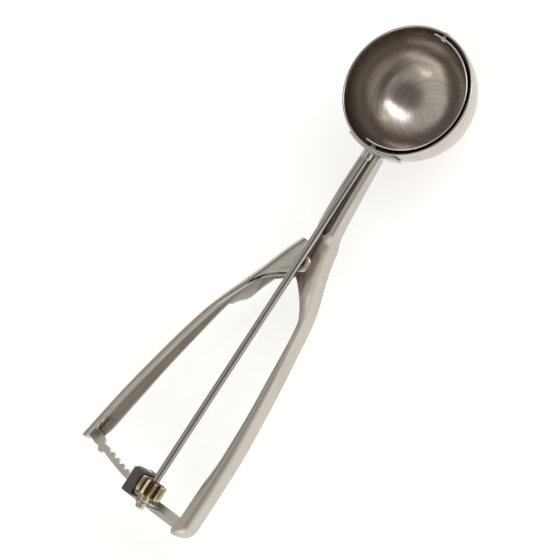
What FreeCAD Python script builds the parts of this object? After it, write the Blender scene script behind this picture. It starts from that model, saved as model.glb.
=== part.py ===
"""Lever ice cream scoop: a steel bowl with a sweeping blade, worked by a squeeze lever.

Millimetres. +X runs along the rod towards the bowl, +Y to the side of the squeeze lever and
+Z up out of the bowl. The origin is the centre of the bowl's rim, on the plane of the rim.
"""
import FreeCAD, Part
import math
import os
import Sketcher
from types import SimpleNamespace

V = FreeCAD.Vector
X_AXIS, Y_AXIS, Z_AXIS = V(1, 0, 0), V(0, 1, 0), V(0, 0, 1)
SEAM = 0.03  # step between the ears of the lever and its channel
PRONGS_BEFORE, PRONGS_AFTER = 1, 7  # prongs of the rack on each side of the one under the idler
IDLER_SHARE = 0.46  # idler axis below the rod axis, as a share of the arm's depth
SPREAD = 20  # where the corners of a sketch start before they are bound

# Driving dimensions: alias, value, what it is
DIMENSIONS = [
    ("bowl_radius", 26.0, "outside radius of the bowl"),
    ("bowl_wall", 0.8, "sheet of the bowl"),
    ("rim_over_rod", 3.2, "rim above the axis of the rod"),
    ("saddle_wall", 0.9, "sheet of the saddle on the bowl"),
    ("saddle_angle", 50.0, "degrees of the bowl that the saddle holds"),
    ("saddle_above", 2.2, "saddle above the axis of the rod"),
    ("saddle_below", 4.8, "saddle below the axis of the rod"),
    ("rod_radius", 1.5, "sweep rod"),
    ("rod_neck_radius", 1.0, "stepped end of the rod in the blade"),
    ("rod_knob_radius", 1.9, "peened tail of the rod"),
    ("rod_knob_length", 2.0, "peened tail of the rod"),
    ("running_gap", 0.15, "radial clearance of a turning rod in its hole"),
    ("pin_gap", 0.05, "radial clearance of a pivot pin"),
    ("hinge_reach", 75.9, "hinge axis behind the centre of the bowl"),
    ("hinge_pin_radius", 1.5, "shank of the hinge rivet"),
    ("hinge_head_radius", 3.7, "front head of the hinge rivet"),
    ("hinge_head_height", 0.8, "front head of the hinge rivet"),
    ("hinge_tail_radius", 2.8, "closed head of the hinge rivet"),
    ("washer_radius", 3.6, "washer under the closed head"),
    ("washer_height", 0.5, "washer under the closed head"),
    ("sheet_wall", 1.0, "sheet of the fixed arm"),
    ("arm_top", 2.6, "front face of the arm below the rod axis"),
    ("arm_depth", 10.0, "depth of the arm at the hinge"),
    ("arm_spread", 21.0, "reach of the arm from the rod at its tail"),
    ("arm_flange", 5.3, "flange of the arm at its tail"),
    ("arm_bend", 4.0, "outside bend radius at the front of the arm"),
    ("back_bend", 1.4, "outside bend radius at the back of the arm"),
    ("shank_right", 4.6, "reach of the shank from the rod at the bowl"),
    ("shank_depth", 5.2, "depth of the shank below the rod axis at the bowl"),
    ("corner_radius", 6.0, "corner of the arm at the tail"),
    ("lever_wall", 0.9, "sheet of the lever"),
    ("lever_gap", 0.3, "clearance between the arm and the lever in it"),
    ("lever_spread", 41.6, "reach of the lever from the rod at its tail"),
    ("lever_flange", 6.5, "back flange of the lever at its tail"),
    ("lever_front", 3.5, "front flange of the lever, where the back one is deeper"),
    ("lever_bend", 1.8, "outside bend radius of the lever"),
    ("ear_radius", 5.0, "ears round the hinge"),
    ("spring_wire", 0.9, "wire of the return spring"),
    ("spring_radius", 3.1, "mean radius of the return spring"),
    ("spring_turns", 3.0, "turns of the return spring"),
    ("spring_room", 0.12, "clearance of the spring in the lever"),
    ("spring_start", 139.0, "degrees round the rivet where the first leg meets the coil"),
    ("spring_opening", 76.0, "degrees between the two legs"),
    ("gear_module", 1.0, "module of the teeth"),
    ("gear_teeth", 9, "teeth of each brass gear"),
    ("rack_teeth", 210, "rack teeth in a whole circle about the hinge"),
    ("backlash", 0.2, "play between teeth"),
    ("gear_face", 5.9, "length of the brass teeth"),
    ("gear_hub", 2.6, "length of the hubs behind the teeth"),
    ("hub_radius", 2.8, "hubs of the gears"),
    ("idler_pin_radius", 1.1, "pin of the idler"),
    ("rack_sheet", 1.2, "plate of the rack"),
    ("rack_prong", 0.9, "width of a rack prong"),
    ("rack_band", 1.6, "band that carries the prongs"),
    ("bar_sheet", 1.2, "plate of the end bar"),
    ("bar_width", 4.9, "end bar"),
    ("ear_inset", 1.6, "upright ear in from the back edge of the bar"),
    ("bar_reach", 12.0, "free end of the bar beyond the rod"),
    ("bearing_width", 5.8, "upright ear that carries the tail of the rod"),
    ("cage_sheet", 1.0, "strip of the gear cage"),
    ("cage_width", 4.3, "strip of the gear cage"),
    ("slide_gap", 0.1, "clearance of the rack on the bar"),
    ("side_gap", 0.2, "end clearance of the gears"),
    ("blade_gap", 1.0, "blade to the inside of the bowl"),
    ("blade_sheet", 0.6, "strip of the blade"),
    ("blade_width", 9.0, "strip of the blade"),
    ("blade_tab", 2.6, "blade beyond the rod axis"),
    ("blade_edge", 2.85, "upper edge of the blade above the rod axis"),
    ("pivot_radius", 1.0, "front pivot of the blade"),
    ("rivet_radius", 0.9, "rivets of the bar, rack and cage"),
    ("rivet_head", 1.6, "heads of those rivets"),
    ("rivet_head_height", 0.6, "heads of those rivets"),
    ("prong_root", 1.4, "root of the prongs outside the pitch circle"),
    ("prong_tip", 1.0, "tips of the prongs inside the pitch circle"),
    ("prong_gap", 0.25, "rack below the roots of the idler"),
    ("stop_bump", 1.6, "round stop on the outer edge of the rack"),
    ("tab_length", 11.0, "tab of the rack on the lever"),
    ("rack_neck", 5.5, "neck of the rack where it leaves the lever"),
    ("stop_angle", 15.8, "degrees from the first prong to the stop"),
    ("cage_room", 0.3, "room between the idler and the cage"),
    ("lip_height", 0.2, "curled edge of the arm's back flange"),
    ("rod_room", 0.6, "room beside the rod in the shank"),
    ("corner_gap", 0.05, "room round the foot of the bar"),
    ("foot_length", 11.0, "foot of the bar in the arm"),
    ("lever_short", 4.1, "tail of the lever short of the arm's corner"),
    ("lever_end", 8.5, "front end of the lever beyond the hinge"),
    ("lever_snip", 9.0, "corners cut off the flanges at the tail of the lever"),
    ("cross_pin_radius", 0.5, "pin through the pinion and the rod"),
    ("bush_length", 3.0, "bush of the rod in the shank"),
]

doc = FreeCAD.newDocument("LeverScoop")
sheet = doc.addObject("Spreadsheet::Sheet", "Sizes")
NODES = []


def fill_sheet():
    """Write the driving dimensions into the sheet and return them by name."""
    for row, (alias, value, note) in enumerate(DIMENSIONS, start=1):
        sheet.set(f"A{row}", note)
        sheet.set(f"B{row}", str(value))
        sheet.setAlias(f"B{row}", alias)
    doc.recompute()
    return SimpleNamespace(**{alias: float(sheet.get(alias)) for alias, _, _ in DIMENSIONS})


# Places worked out from the sheet, as expressions for the bound objects
ROD_Z = "(-Sizes.rim_over_rod)"
HINGE_X = "(-Sizes.hinge_reach)"
BOWL_INSIDE = "(Sizes.bowl_radius - Sizes.bowl_wall)"
PITCH_RADIUS = "(Sizes.gear_module * Sizes.rack_teeth / 2)"
GEAR_RADIUS = "(Sizes.gear_module * Sizes.gear_teeth / 2)"
IDLER_DROP = f"(Sizes.arm_depth * {IDLER_SHARE})"
IDLER_Y = f"sqrt((2 * {GEAR_RADIUS}) ^ 2 - {IDLER_DROP} ^ 2)"
BAND_INSIDE = f"({PITCH_RADIUS} + Sizes.prong_root)"
MESH_REACH = f"({IDLER_Y} + 0.8 * {GEAR_RADIUS})"
GEAR_BACK = f"({HINGE_X} - sqrt({BAND_INSIDE} ^ 2 - {MESH_REACH} ^ 2) + Sizes.side_gap)"
GEAR_FRONT = f"({GEAR_BACK} + Sizes.gear_face)"
HUB_BACK = f"({GEAR_BACK} - Sizes.gear_hub)"
EAR_BACK = f"({HUB_BACK} - Sizes.side_gap - Sizes.bar_sheet)"
BAR_BACK = f"({EAR_BACK} - Sizes.ear_inset)"
GEAR_ROOT = f"({GEAR_RADIUS} - 1.05 * Sizes.gear_module)"
GEAR_TIP = f"({GEAR_RADIUS} + 0.9 * Sizes.gear_module)"
RACK_TOP = f"(-{IDLER_DROP} - {GEAR_ROOT} - Sizes.prong_gap)"
BAR_TOP = f"({RACK_TOP} - Sizes.rack_sheet - Sizes.slide_gap)"
BAR_BOTTOM = f"({BAR_TOP} - Sizes.bar_sheet)"
CAGE_BACK = f"({HUB_BACK} - Sizes.side_gap - Sizes.cage_sheet)"
CAGE_FRONT = f"({GEAR_FRONT} + Sizes.side_gap + Sizes.cage_sheet)"
CAGE_TOP = f"({GEAR_TIP} - {IDLER_DROP} + Sizes.cage_room + Sizes.cage_sheet)"
HINGE_BOTTOM = "(-Sizes.arm_top - Sizes.arm_depth)"


def places(s):
    """The same places as numbers, for the shapes that are made in code."""
    d = SimpleNamespace()
    d.rod_z = -s.rim_over_rod
    d.hinge_x = -s.hinge_reach
    d.pitch_radius = s.gear_module * s.rack_teeth / 2
    d.gear_radius = s.gear_module * s.gear_teeth / 2
    d.gear_root = d.gear_radius - 1.05 * s.gear_module
    d.gear_tip = d.gear_radius + 0.9 * s.gear_module
    d.idler_drop = s.arm_depth * IDLER_SHARE
    d.idler_y = math.sqrt((2 * d.gear_radius) ** 2 - d.idler_drop ** 2)
    d.band_inside = d.pitch_radius + s.prong_root
    mesh_reach = d.idler_y + 0.8 * d.gear_radius
    d.gear_back = d.hinge_x - math.sqrt(d.band_inside ** 2 - mesh_reach ** 2) + s.side_gap
    d.hub_back = d.gear_back - s.gear_hub
    d.rack_top = -d.idler_drop - d.gear_root - s.prong_gap
    d.bar_top = d.rack_top - s.rack_sheet - s.slide_gap
    d.bar_bottom = d.bar_top - s.bar_sheet
    d.ear_back = d.hub_back - s.side_gap - s.bar_sheet
    d.bar_back = d.ear_back - s.ear_inset
    d.cage_back = d.hub_back - s.side_gap - s.cage_sheet
    d.hinge_bottom = -s.arm_top - s.arm_depth
    d.lever_top = -s.arm_top - s.sheet_wall - s.lever_gap
    d.lever_bottom = d.hinge_bottom + s.sheet_wall + s.lip_height + s.lever_gap
    d.foot_inset = s.back_bend + s.corner_gap
    d.corner_x = d.bar_back + s.corner_radius - d.foot_inset
    d.lever_length = d.hinge_x - d.corner_x - s.lever_short
    return d


def node(item, label):
    """Name a finished sub-part and put it on the list of nodes."""
    item.Label = label
    NODES.append(item)
    return item


def bound(kind, name, sizes, base=("0", "0", ROD_Z), rotation=None):
    """A primitive whose sizes and place are bound to the sheet."""
    item = doc.addObject(kind, name)
    if rotation is not None:
        item.Placement = FreeCAD.Placement(V(0, 0, 0), rotation)
    for prop, expression in sizes.items():
        item.setExpression(prop, expression)
    for letter, expression in zip("xyz", base):
        item.setExpression(f"Placement.Base.{letter}", expression)
    return item


def rod_shaped(name, radius, start, length, y="0", z=ROD_Z):
    """A cylinder along X, bound to the sheet."""
    turn = FreeCAD.Rotation(Y_AXIS, 90)
    return bound("Part::Cylinder", name, {"Radius": radius, "Height": length}, (start, y, z), turn)


def post_shaped(name, radius, x, y, bottom, height):
    """A cylinder along Z, bound to the sheet."""
    sizes = {"Radius": radius, "Height": height}
    return bound("Part::Cylinder", name, sizes, (x, y, bottom))


def boolean(kind, name, *items):
    """Join, cut or intersect objects, keeping the link between them."""
    result = doc.addObject(kind, name)
    if kind == "Part::Cut":
        result.Base, result.Tool = items
    else:
        result.Shapes = list(items)
    return result


def cut(name, base, *tools):
    """The base without the tools."""
    tool = tools[0] if len(tools) == 1 else boolean("Part::MultiFuse", f"{name}_tools", *tools)
    return boolean("Part::Cut", name, base, tool)


def fuse(name, *items):
    """The items as one solid."""
    result = boolean("Part::MultiFuse", name, *items)
    result.Refine = True
    return result


def origin_plane(body, role):
    """One of the origin planes of a body."""
    return next(item for item in body.Origin.OriginFeatures if item.Role == role)


def draw_polygon(sketch, corners):
    """A closed polygon whose corners are bound to expressions of the sheet."""
    first = sketch.GeometryCount
    count = len(corners)
    turns = [math.tau * i / count for i in range(count)]
    spots = [V(SPREAD * math.cos(turn), SPREAD * math.sin(turn), 0) for turn in turns]
    for i in range(count):
        sketch.addGeometry(Part.LineSegment(spots[i], spots[(i + 1) % count]), False)
    for i in range(count):
        following = first + (i + 1) % count
        sketch.addConstraint(Sketcher.Constraint("Coincident", first + i, 2, following, 1))
    for i, (across, up) in enumerate(corners):
        for kind, value, expression in (("DistanceX", spots[i].x, across), ("DistanceY", spots[i].y, up)):
            index = sketch.addConstraint(Sketcher.Constraint(kind, -1, 1, first + i, 1, value))
            sketch.setExpression(f"Constraints[{index}]", expression)


def sketched_body(name, plane, loops):
    """A body with one sketch of closed polygons on an origin plane."""
    body = doc.addObject("PartDesign::Body", name)
    sketch = body.newObject("Sketcher::SketchObject", f"{name}_profile")
    sketch.AttachmentSupport = (origin_plane(body, plane), [""])
    sketch.MapMode = "FlatFace"
    for corners in loops:
        draw_polygon(sketch, corners)
    return body, sketch


def place_body(body, base, rotation=None):
    """Bind the place of a body to the sheet."""
    if rotation is not None:
        body.Placement = FreeCAD.Placement(V(0, 0, 0), rotation)
    for letter, expression in zip("xyz", base):
        body.setExpression(f"Placement.Base.{letter}", expression)


def turned(name, corners, base=("0", "0", ROD_Z), upright=False):
    """A turned piece: corners are (along the axis, radius) from one end on the axis to the other."""
    body, sketch = sketched_body(name, "XY_Plane", [corners])
    turn = body.newObject("PartDesign::Revolution", f"{name}_turned")
    turn.Profile = sketch
    turn.ReferenceAxis = (sketch, ["H_Axis"])
    turn.Angle = 360
    place_body(body, base, FreeCAD.Rotation(Y_AXIS, -90) if upright else None)
    return body


def plated(name, plane, loops, length, base):
    """A plate: closed polygons on an origin plane, pushed out by a length."""
    body, sketch = sketched_body(name, plane, loops)
    pad = body.newObject("PartDesign::Pad", f"{name}_pad")
    pad.Profile = sketch
    pad.setExpression("Length", length)
    place_body(body, base)
    return body


def shaped(label, shape, base):
    """A sub-part whose shape is made in code."""
    item = doc.addObject("Part::Feature", label)
    item.Shape = shape
    item.Placement = FreeCAD.Placement(base, FreeCAD.Rotation())
    return node(item, label)


def bowl():
    """Half a sphere under a short upright band, open upwards, with the holes of the two pivots."""
    def solid(name, radius):
        ball = bound("Part::Sphere", f"{name}_ball", {"Radius": radius})
        ball.Angle1, ball.Angle2 = -90, 0
        band = post_shaped(f"{name}_band", radius, "0", "0", ROD_Z, "Sizes.rim_over_rod")
        return fuse(name, ball, band)
    outside = solid("bowl_outside", "Sizes.bowl_radius")
    inside = solid("bowl_inside", BOWL_INSIDE)
    shell = cut("bowl_shell", outside, inside)
    rod_hole = rod_shaped("bowl_rod_hole", "Sizes.rod_radius + Sizes.running_gap",
                          "-Sizes.bowl_radius - 1", "Sizes.bowl_wall + 3")
    pivot_hole = rod_shaped("bowl_pivot_hole", "Sizes.pivot_radius + Sizes.running_gap",
                            "Sizes.bowl_radius - Sizes.bowl_wall - 2", "Sizes.bowl_wall + 3")
    return node(cut("bowl", shell, rod_hole, pivot_hole), "bowl")


def bowl_saddle():
    """A pressed strap that fits the outside of the bowl where the shank meets it."""
    outside_radius = "Sizes.bowl_radius + Sizes.saddle_wall"
    ball = bound("Part::Sphere", "saddle_ball", {"Radius": outside_radius})
    ball.Angle1, ball.Angle2 = -90, 0
    band = post_shaped("saddle_band", outside_radius, "0", "0", ROD_Z, "Sizes.saddle_above")
    outside = fuse("saddle_outside", ball, band)
    inner_ball = bound("Part::Sphere", "saddle_inner_ball", {"Radius": "Sizes.bowl_radius"})
    inner_ball.Angle1, inner_ball.Angle2 = -90, 0
    inner_band = post_shaped("saddle_inner_band", "Sizes.bowl_radius", "0", "0", ROD_Z,
                             "Sizes.saddle_above + 1")
    shell = cut("saddle_shell", outside, fuse("saddle_inside", inner_ball, inner_band))
    sector = bound("Part::Cylinder", "saddle_sector",
                   {"Radius": "Sizes.bowl_radius + 5", "Angle": "Sizes.saddle_angle",
                    "Height": "Sizes.saddle_above + Sizes.saddle_below"},
                   ("0", "0", f"{ROD_Z} - Sizes.saddle_below"))
    sector.Placement = FreeCAD.Placement(V(0, 0, 0), FreeCAD.Rotation(Z_AXIS, 180))
    sector.setExpression("Placement.Rotation.Angle", "180 - Sizes.saddle_angle / 2")
    piece = boolean("Part::MultiCommon", "saddle_piece", shell, sector)
    hole = rod_shaped("saddle_rod_hole", "Sizes.rod_radius + Sizes.running_gap",
                      f"-({outside_radius}) - 1", "Sizes.saddle_wall + 3")
    return node(cut("bowl_saddle", piece, hole), "bowl_saddle")


def rounded_loop(corners, x):
    """A closed wire in the plane X = x; a corner (y, z, radius) with a radius is an arc."""
    count = len(corners)
    points = [V(x, y, z) for y, z, _ in corners]
    edges, ends = [], []
    for i, (_, _, radius) in enumerate(corners):
        to_last = (points[i - 1] - points[i]).normalize()
        to_next = (points[(i + 1) % count] - points[i]).normalize()
        half = math.acos(max(-1, min(1, to_last.dot(to_next)))) / 2
        reach = radius / math.tan(half) if radius else 0
        start, end = points[i] + to_last * reach, points[i] + to_next * reach
        ends.append((start, end, radius, (to_last + to_next).normalize(), half))
    for i, (start, end, radius, inward, half) in enumerate(ends):
        if radius:
            middle = points[i] + inward * (radius / math.sin(half) - radius)
            edges.append(Part.Arc(start, middle, end).toShape())
        edges.append(Part.LineSegment(end, ends[(i + 1) % count][0]).toShape())
    return Part.Wire(edges)


def lofted(sections):
    """A solid through closed wires, with straight faces from each to the next."""
    solid = Part.makeLoft(sections, True, True)
    if solid.Volume < 0:
        solid.reverse()
    return solid


def plate(points, bottom, height):
    """A flat plate from a closed list of (x, y) points."""
    corners = [V(x, y, bottom) for x, y in points]
    return Part.Face(Part.makePolygon(corners + corners[:1])).extrude(V(0, 0, height))


def post(radius, height, x, y, bottom):
    """A plain cylinder along Z."""
    return Part.makeCylinder(radius, height, V(x, y, bottom))


def arm_section(s, x, outer, front, back, top, bottom, lip, bend):
    """The bent sheet of the arm at x: a channel whose back flange ends in a lip."""
    wall = s.sheet_wall
    return rounded_loop([
        (front, top, 0), (outer, top, bend), (outer, bottom, s.back_bend), (back, bottom, 0),
        (back, lip, 0), (back - wall, lip, 0), (back - wall, bottom + wall, 0),
        (outer + wall, bottom + wall, s.back_bend - wall),
        (outer + wall, top - wall, bend - wall), (front, top - wall, 0)], x)


def handle_stations(s, d):
    """Places along the handle: x, reach of the web, edge of the flange and share of full depth."""
    handle = d.hinge_x - d.corner_x
    foot = 1 - (s.foot_length + s.rivet_head) / handle
    flange_tail = s.arm_spread - s.arm_flange
    return [(d.hinge_x - handle * share, s.arm_spread * outer, flange_tail * front, deep)
            for share, outer, front, deep in (
                (1.0, 1.0, 1.0, 0.0), (foot, 1.0, 1.0, 0.0), (0.72, 0.98, 0.98, 0.5),
                (0.57, 0.915, 0.955, 1.0), (0.43, 0.845, 0.885, 1.0), (0.285, 0.75, 0.825, 1.0),
                (0.2, 0.695, 0.76, 1.0), (0.138, 0.635, 0.575, 1.0), (0.092, 0.565, 0.325, 1.0),
                (0.062, 0.51, 0.115, 1.0))]


def fixed_arm(s, d):
    """The pressed handle: a channel that opens to the lever and narrows to a trough for the rod."""
    shank = s.hinge_reach - s.bowl_radius
    wall = s.sheet_wall
    tail_bottom = d.bar_bottom - wall
    low = d.hinge_bottom
    left = s.rod_radius + s.rod_room + wall
    lipped = wall + s.lip_height
    flange_tail = s.arm_spread - s.arm_flange
    sections = []
    for x, outer, front, deep in handle_stations(s, d):
        bottom = tail_bottom + (low - tail_bottom) * deep
        sections.append(arm_section(s, x, -outer, -front, -front, -s.arm_top, bottom,
                                    bottom + lipped, s.arm_bend))
    # Hinge: distance from the hinge, share of the spread, edge of the two ears
    for along, outer, edge in ((-3.2, 0.455, 0.5), (0.0, 0.405, 0.84), (4.0, 0.35, 0.74)):
        y_edge = s.ear_radius * edge
        sections.append(arm_section(s, d.hinge_x + along, -s.arm_spread * outer, y_edge, y_edge,
                                    -s.arm_top, low, low + lipped, s.arm_bend))
    # Shank: share of the way to the bowl, reach, depth and left wall of the trough
    reach = s.shank_right
    narrow = wall * 1.6
    for share, outer, front, deep, lip, top in (
            (0.2, reach + 1.6, 0.0, 0.97, 0.0, s.arm_top), (0.3, reach + 1.1, 1.0, 0.6, 0.75, 1.1),
            (0.62, reach + 0.5, 1.0, 0.27, 0.96, 0.4), (1.03, reach, 1.0, 0.0, 1.0, 0.2)):
        bottom = -s.shank_depth + (low + s.shank_depth) * deep
        y_front = left + (narrow - outer - left) * front
        lip_top = bottom + lipped + (-0.2 - bottom - lipped) * lip
        bend = s.arm_bend + (wall * 1.15 - s.arm_bend) * front
        sections.append(arm_section(s, d.hinge_x + shank * share, -outer, y_front, left, -top,
                                    bottom, lip_top, bend))
    body = lofted(sections)
    # Corner at the tail, turned about an upright axis
    axis_y = -s.arm_spread + s.corner_radius
    start = arm_section(s, d.corner_x, -s.arm_spread, -flange_tail, -flange_tail, -s.arm_top,
                        tail_bottom, tail_bottom + lipped, s.arm_bend)
    corner = Part.Face(start).revolve(V(d.corner_x, axis_y, 0), Z_AXIS, -90)
    body = body.fuse(corner)
    # The seat of the bar's foot, the saddle's curve, and the holes of the hinge and the bar rivets
    body = body.cut(plate(bar_outline(s, d), d.bar_bottom, s.bar_sheet))
    saddle = s.bowl_radius + s.saddle_wall
    body = body.cut(Part.makeSphere(saddle))
    body = body.cut(Part.makeCylinder(saddle, s.rim_over_rod + 1))
    hole = s.hinge_pin_radius + s.pin_gap
    body = body.cut(post(hole, s.arm_depth + 2, d.hinge_x, 0, low - 1))
    for x, y in bar_rivet_places(s, d):
        body = body.cut(post(s.rivet_radius, s.sheet_wall + 2, x, y, tail_bottom - 1))
    return shaped("fixed_arm", body, V(0, 0, d.rod_z))


def bar_rivet_places(s, d):
    """The two rivets that hold the foot of the end bar in the arm."""
    y = -s.arm_spread + (d.foot_inset + s.arm_flange) / 2
    first = d.corner_x + s.rivet_head
    return [(first, y), (first + s.foot_length / 2, y)]


def bar_outline(s, d):
    """The end bar seen from the front, with its foot along the arm."""
    back, front = d.bar_back, d.bar_back + s.bar_width
    soft = s.bar_sheet
    foot_outer = -s.arm_spread + d.foot_inset
    foot_inner = -s.arm_spread + s.arm_flange
    foot_end = d.corner_x + s.foot_length
    corner = s.corner_radius - d.foot_inset
    axis_y = -s.arm_spread + s.corner_radius
    outline = [(back, s.bar_reach - soft), (back + soft, s.bar_reach), (front - soft, s.bar_reach),
               (front, s.bar_reach - soft), (front, foot_inner), (foot_end, foot_inner),
               (foot_end, foot_outer)]
    for degrees in (90, 120, 150, 180):
        turn = math.radians(degrees)
        outline.append((d.corner_x + corner * math.cos(turn), axis_y - corner * math.sin(turn)))
    return outline


def end_bar(s, d):
    """The bar across the tail, with its foot in the arm and the upright ear of the rod."""
    body = plate(bar_outline(s, d), d.bar_bottom, s.bar_sheet)
    half = s.bearing_width / 2
    ear = Part.makeBox(s.bar_sheet, s.bearing_width, -d.bar_bottom, V(d.ear_back, -half, d.bar_bottom))
    ear = ear.fuse(Part.makeCylinder(half, s.bar_sheet, V(d.ear_back, 0, 0), X_AXIS))
    body = body.fuse(ear).removeSplitter()
    bore = s.rod_radius + s.running_gap
    body = body.cut(Part.makeCylinder(bore, s.bar_sheet + 2, V(d.ear_back - 1, 0, 0), X_AXIS))
    # Slot for the rear leg of the cage, and the rivet holes
    leg = s.cage_width + 2 * s.pin_gap
    slot = Part.makeBox(s.cage_sheet + 2 * s.pin_gap, leg, s.bar_sheet + 2,
                        V(d.cage_back - s.pin_gap, d.idler_y - leg / 2, d.bar_bottom - 1))
    body = body.cut(slot)
    for x, y in bar_rivet_places(s, d):
        body = body.cut(post(s.rivet_radius, s.bar_sheet + 2, x, y, d.bar_bottom - 1))
    x, y = cage_rivet_place(s, d)
    body = body.cut(post(s.rivet_radius, s.bar_sheet + 2, x, y, d.bar_bottom - 1))
    return shaped("end_bar", body, V(0, 0, d.rod_z))


def cage_rivet_place(s, d):
    """The flush rivet that holds the cage under the bar."""
    return (d.hub_back + d.bar_back + s.bar_width) / 2, d.idler_y


def bar_rivets(s, d):
    """Two rivets through the foot of the bar and the arm."""
    top = d.bar_bottom + s.bar_sheet
    bottom = d.bar_bottom - s.sheet_wall
    rivets = []
    for x, y in bar_rivet_places(s, d):
        rivet = post(s.rivet_radius, top - bottom, x, y, bottom)
        rivet = rivet.fuse(post(s.rivet_head, s.rivet_head_height, x, y, top))
        rivets.append(rivet.fuse(post(s.rivet_head, s.rivet_head_height, x, y,
                                      bottom - s.rivet_head_height)))
    return shaped("bar_rivets", Part.makeCompound(rivets), V(0, 0, d.rod_z))


def lever_stations(s, d):
    """Share of the way to the tail, and the reach of the web and of the flange edges."""
    stations = []
    for share, outer, flange in (
            (1.0, 1.0, 1.0), (0.77, 0.896, 0.94), (0.64, 0.824, 0.82), (0.457, 0.712, 0.68),
            (0.277, 0.577, 0.46), (0.214, 0.518, 0.42), (0.066, 0.36, 0.42), (0.006, 0.303, 0.42)):
        x = d.hinge_x - d.lever_length * share
        stations.append((x, s.lever_spread * outer, s.lever_flange * flange))
    x, outer, flange = stations[-1]
    stations.append((d.hinge_x + s.lever_end, s.lever_spread * 0.202, flange))
    return stations


def lever(s, d):
    """The squeeze lever: a channel that opens to the arm, with two ears on the hinge rivet."""
    top, bottom, wall = d.lever_top, d.lever_bottom, s.lever_wall
    inner_bend = s.lever_bend - wall
    sections = []
    least = s.lever_bend + 0.3
    for x, outer, flange in lever_stations(s, d):
        edge = outer - max(flange, least)
        front = outer - max(min(flange, s.lever_front), least)
        sections.append(rounded_loop([
            (front, top, 0), (outer, top, s.lever_bend), (outer, bottom, s.lever_bend),
            (edge, bottom, 0), (edge, bottom + wall, 0), (outer - wall, bottom + wall, inner_bend),
            (outer - wall, top - wall, inner_bend), (front, top - wall, 0)], x))
    body = lofted(sections)
    # Ears: the front one is cut straight, the back one bulges in a crescent
    inset = s.lever_bend

    def ear_spots(*shares):
        return [(d.hinge_x - d.lever_length * along, s.lever_spread * across)
                for along, across in shares]

    end = [(d.hinge_x + s.lever_end, s.lever_spread * 0.202 - inset)]
    upper = [(x, y - inset) for x, y in ear_spots((0.066, 0.36), (0.215, 0.518), (0.283, 0.578))]
    round_end = [(d.hinge_x - s.ear_radius * 0.95, s.ear_radius * 0.3),
                 (d.hinge_x + s.ear_radius * 0.9, -0.4 * s.ear_radius)]
    front_edge = ear_spots((0.137, 0.29), (0.087, 0.2))
    crescent = ear_spots((0.273, 0.475), (0.25, 0.435), (0.219, 0.36), (0.156, 0.3), (0.107, 0.245))
    front_ear = plate(end + upper[:2] + front_edge + round_end, top - wall - SEAM, wall)
    back_ear = plate(end + upper[:1] + upper[2:] + crescent + round_end, bottom + SEAM, wall)
    discs = [post(s.ear_radius, wall, d.hinge_x, 0, low) for low in (bottom + SEAM, top - wall - SEAM)]
    body = body.multiFuse([front_ear, back_ear] + discs)
    hole = s.hinge_pin_radius + s.pin_gap
    body = body.cut(post(hole, s.arm_depth + 2, d.hinge_x, 0, bottom - 1))
    # The flanges are cut back at the tail
    tail, outer, flange = lever_stations(s, d)[0]
    edge = outer - flange
    snip = [(tail - 1, edge - 1), (tail + s.lever_snip, edge - 1), (tail + s.lever_snip, edge),
            (tail + s.lever_snip * 0.6, edge + flange * 0.15),
            (tail + s.lever_snip * 0.25, edge + flange * 0.45), (tail - 1, outer - inset)]
    body = body.cut(plate(snip, bottom - 1, top - bottom + 2))
    for spot in rack_rivet_places(s, d):
        body = body.cut(rack_rivet_hole(s, d, spot))
    return shaped("lever", body, V(0, 0, d.rod_z))


def lever_tail(s, d):
    """The inside of the lever's web at its tail, and the directions along and into it."""
    (x0, y0, _), (x1, y1, _) = lever_stations(s, d)[:2]
    along = V(x1 - x0, y1 - y0, 0).normalize()
    inward = V(along.y, -along.x, 0)
    return V(x0, y0, 0) + inward * s.lever_wall, along, inward


def rack_rivet_places(s, d):
    """Where the two rack rivets pass through the web of the lever."""
    corner, along, _ = lever_tail(s, d)
    height = V(0, 0, (d.lever_top + d.lever_bottom) / 2)
    return [corner + height + along * (s.tab_length * share) for share in (0.55, 0.85)]


def rack_rivet_hole(s, d, spot):
    """A hole through the web and the tab at a rivet."""
    _, _, inward = lever_tail(s, d)
    depth = s.lever_wall + s.rack_sheet
    return Part.makeCylinder(s.rivet_radius * 0.7, 2 * depth, spot - inward * depth, inward)


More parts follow.
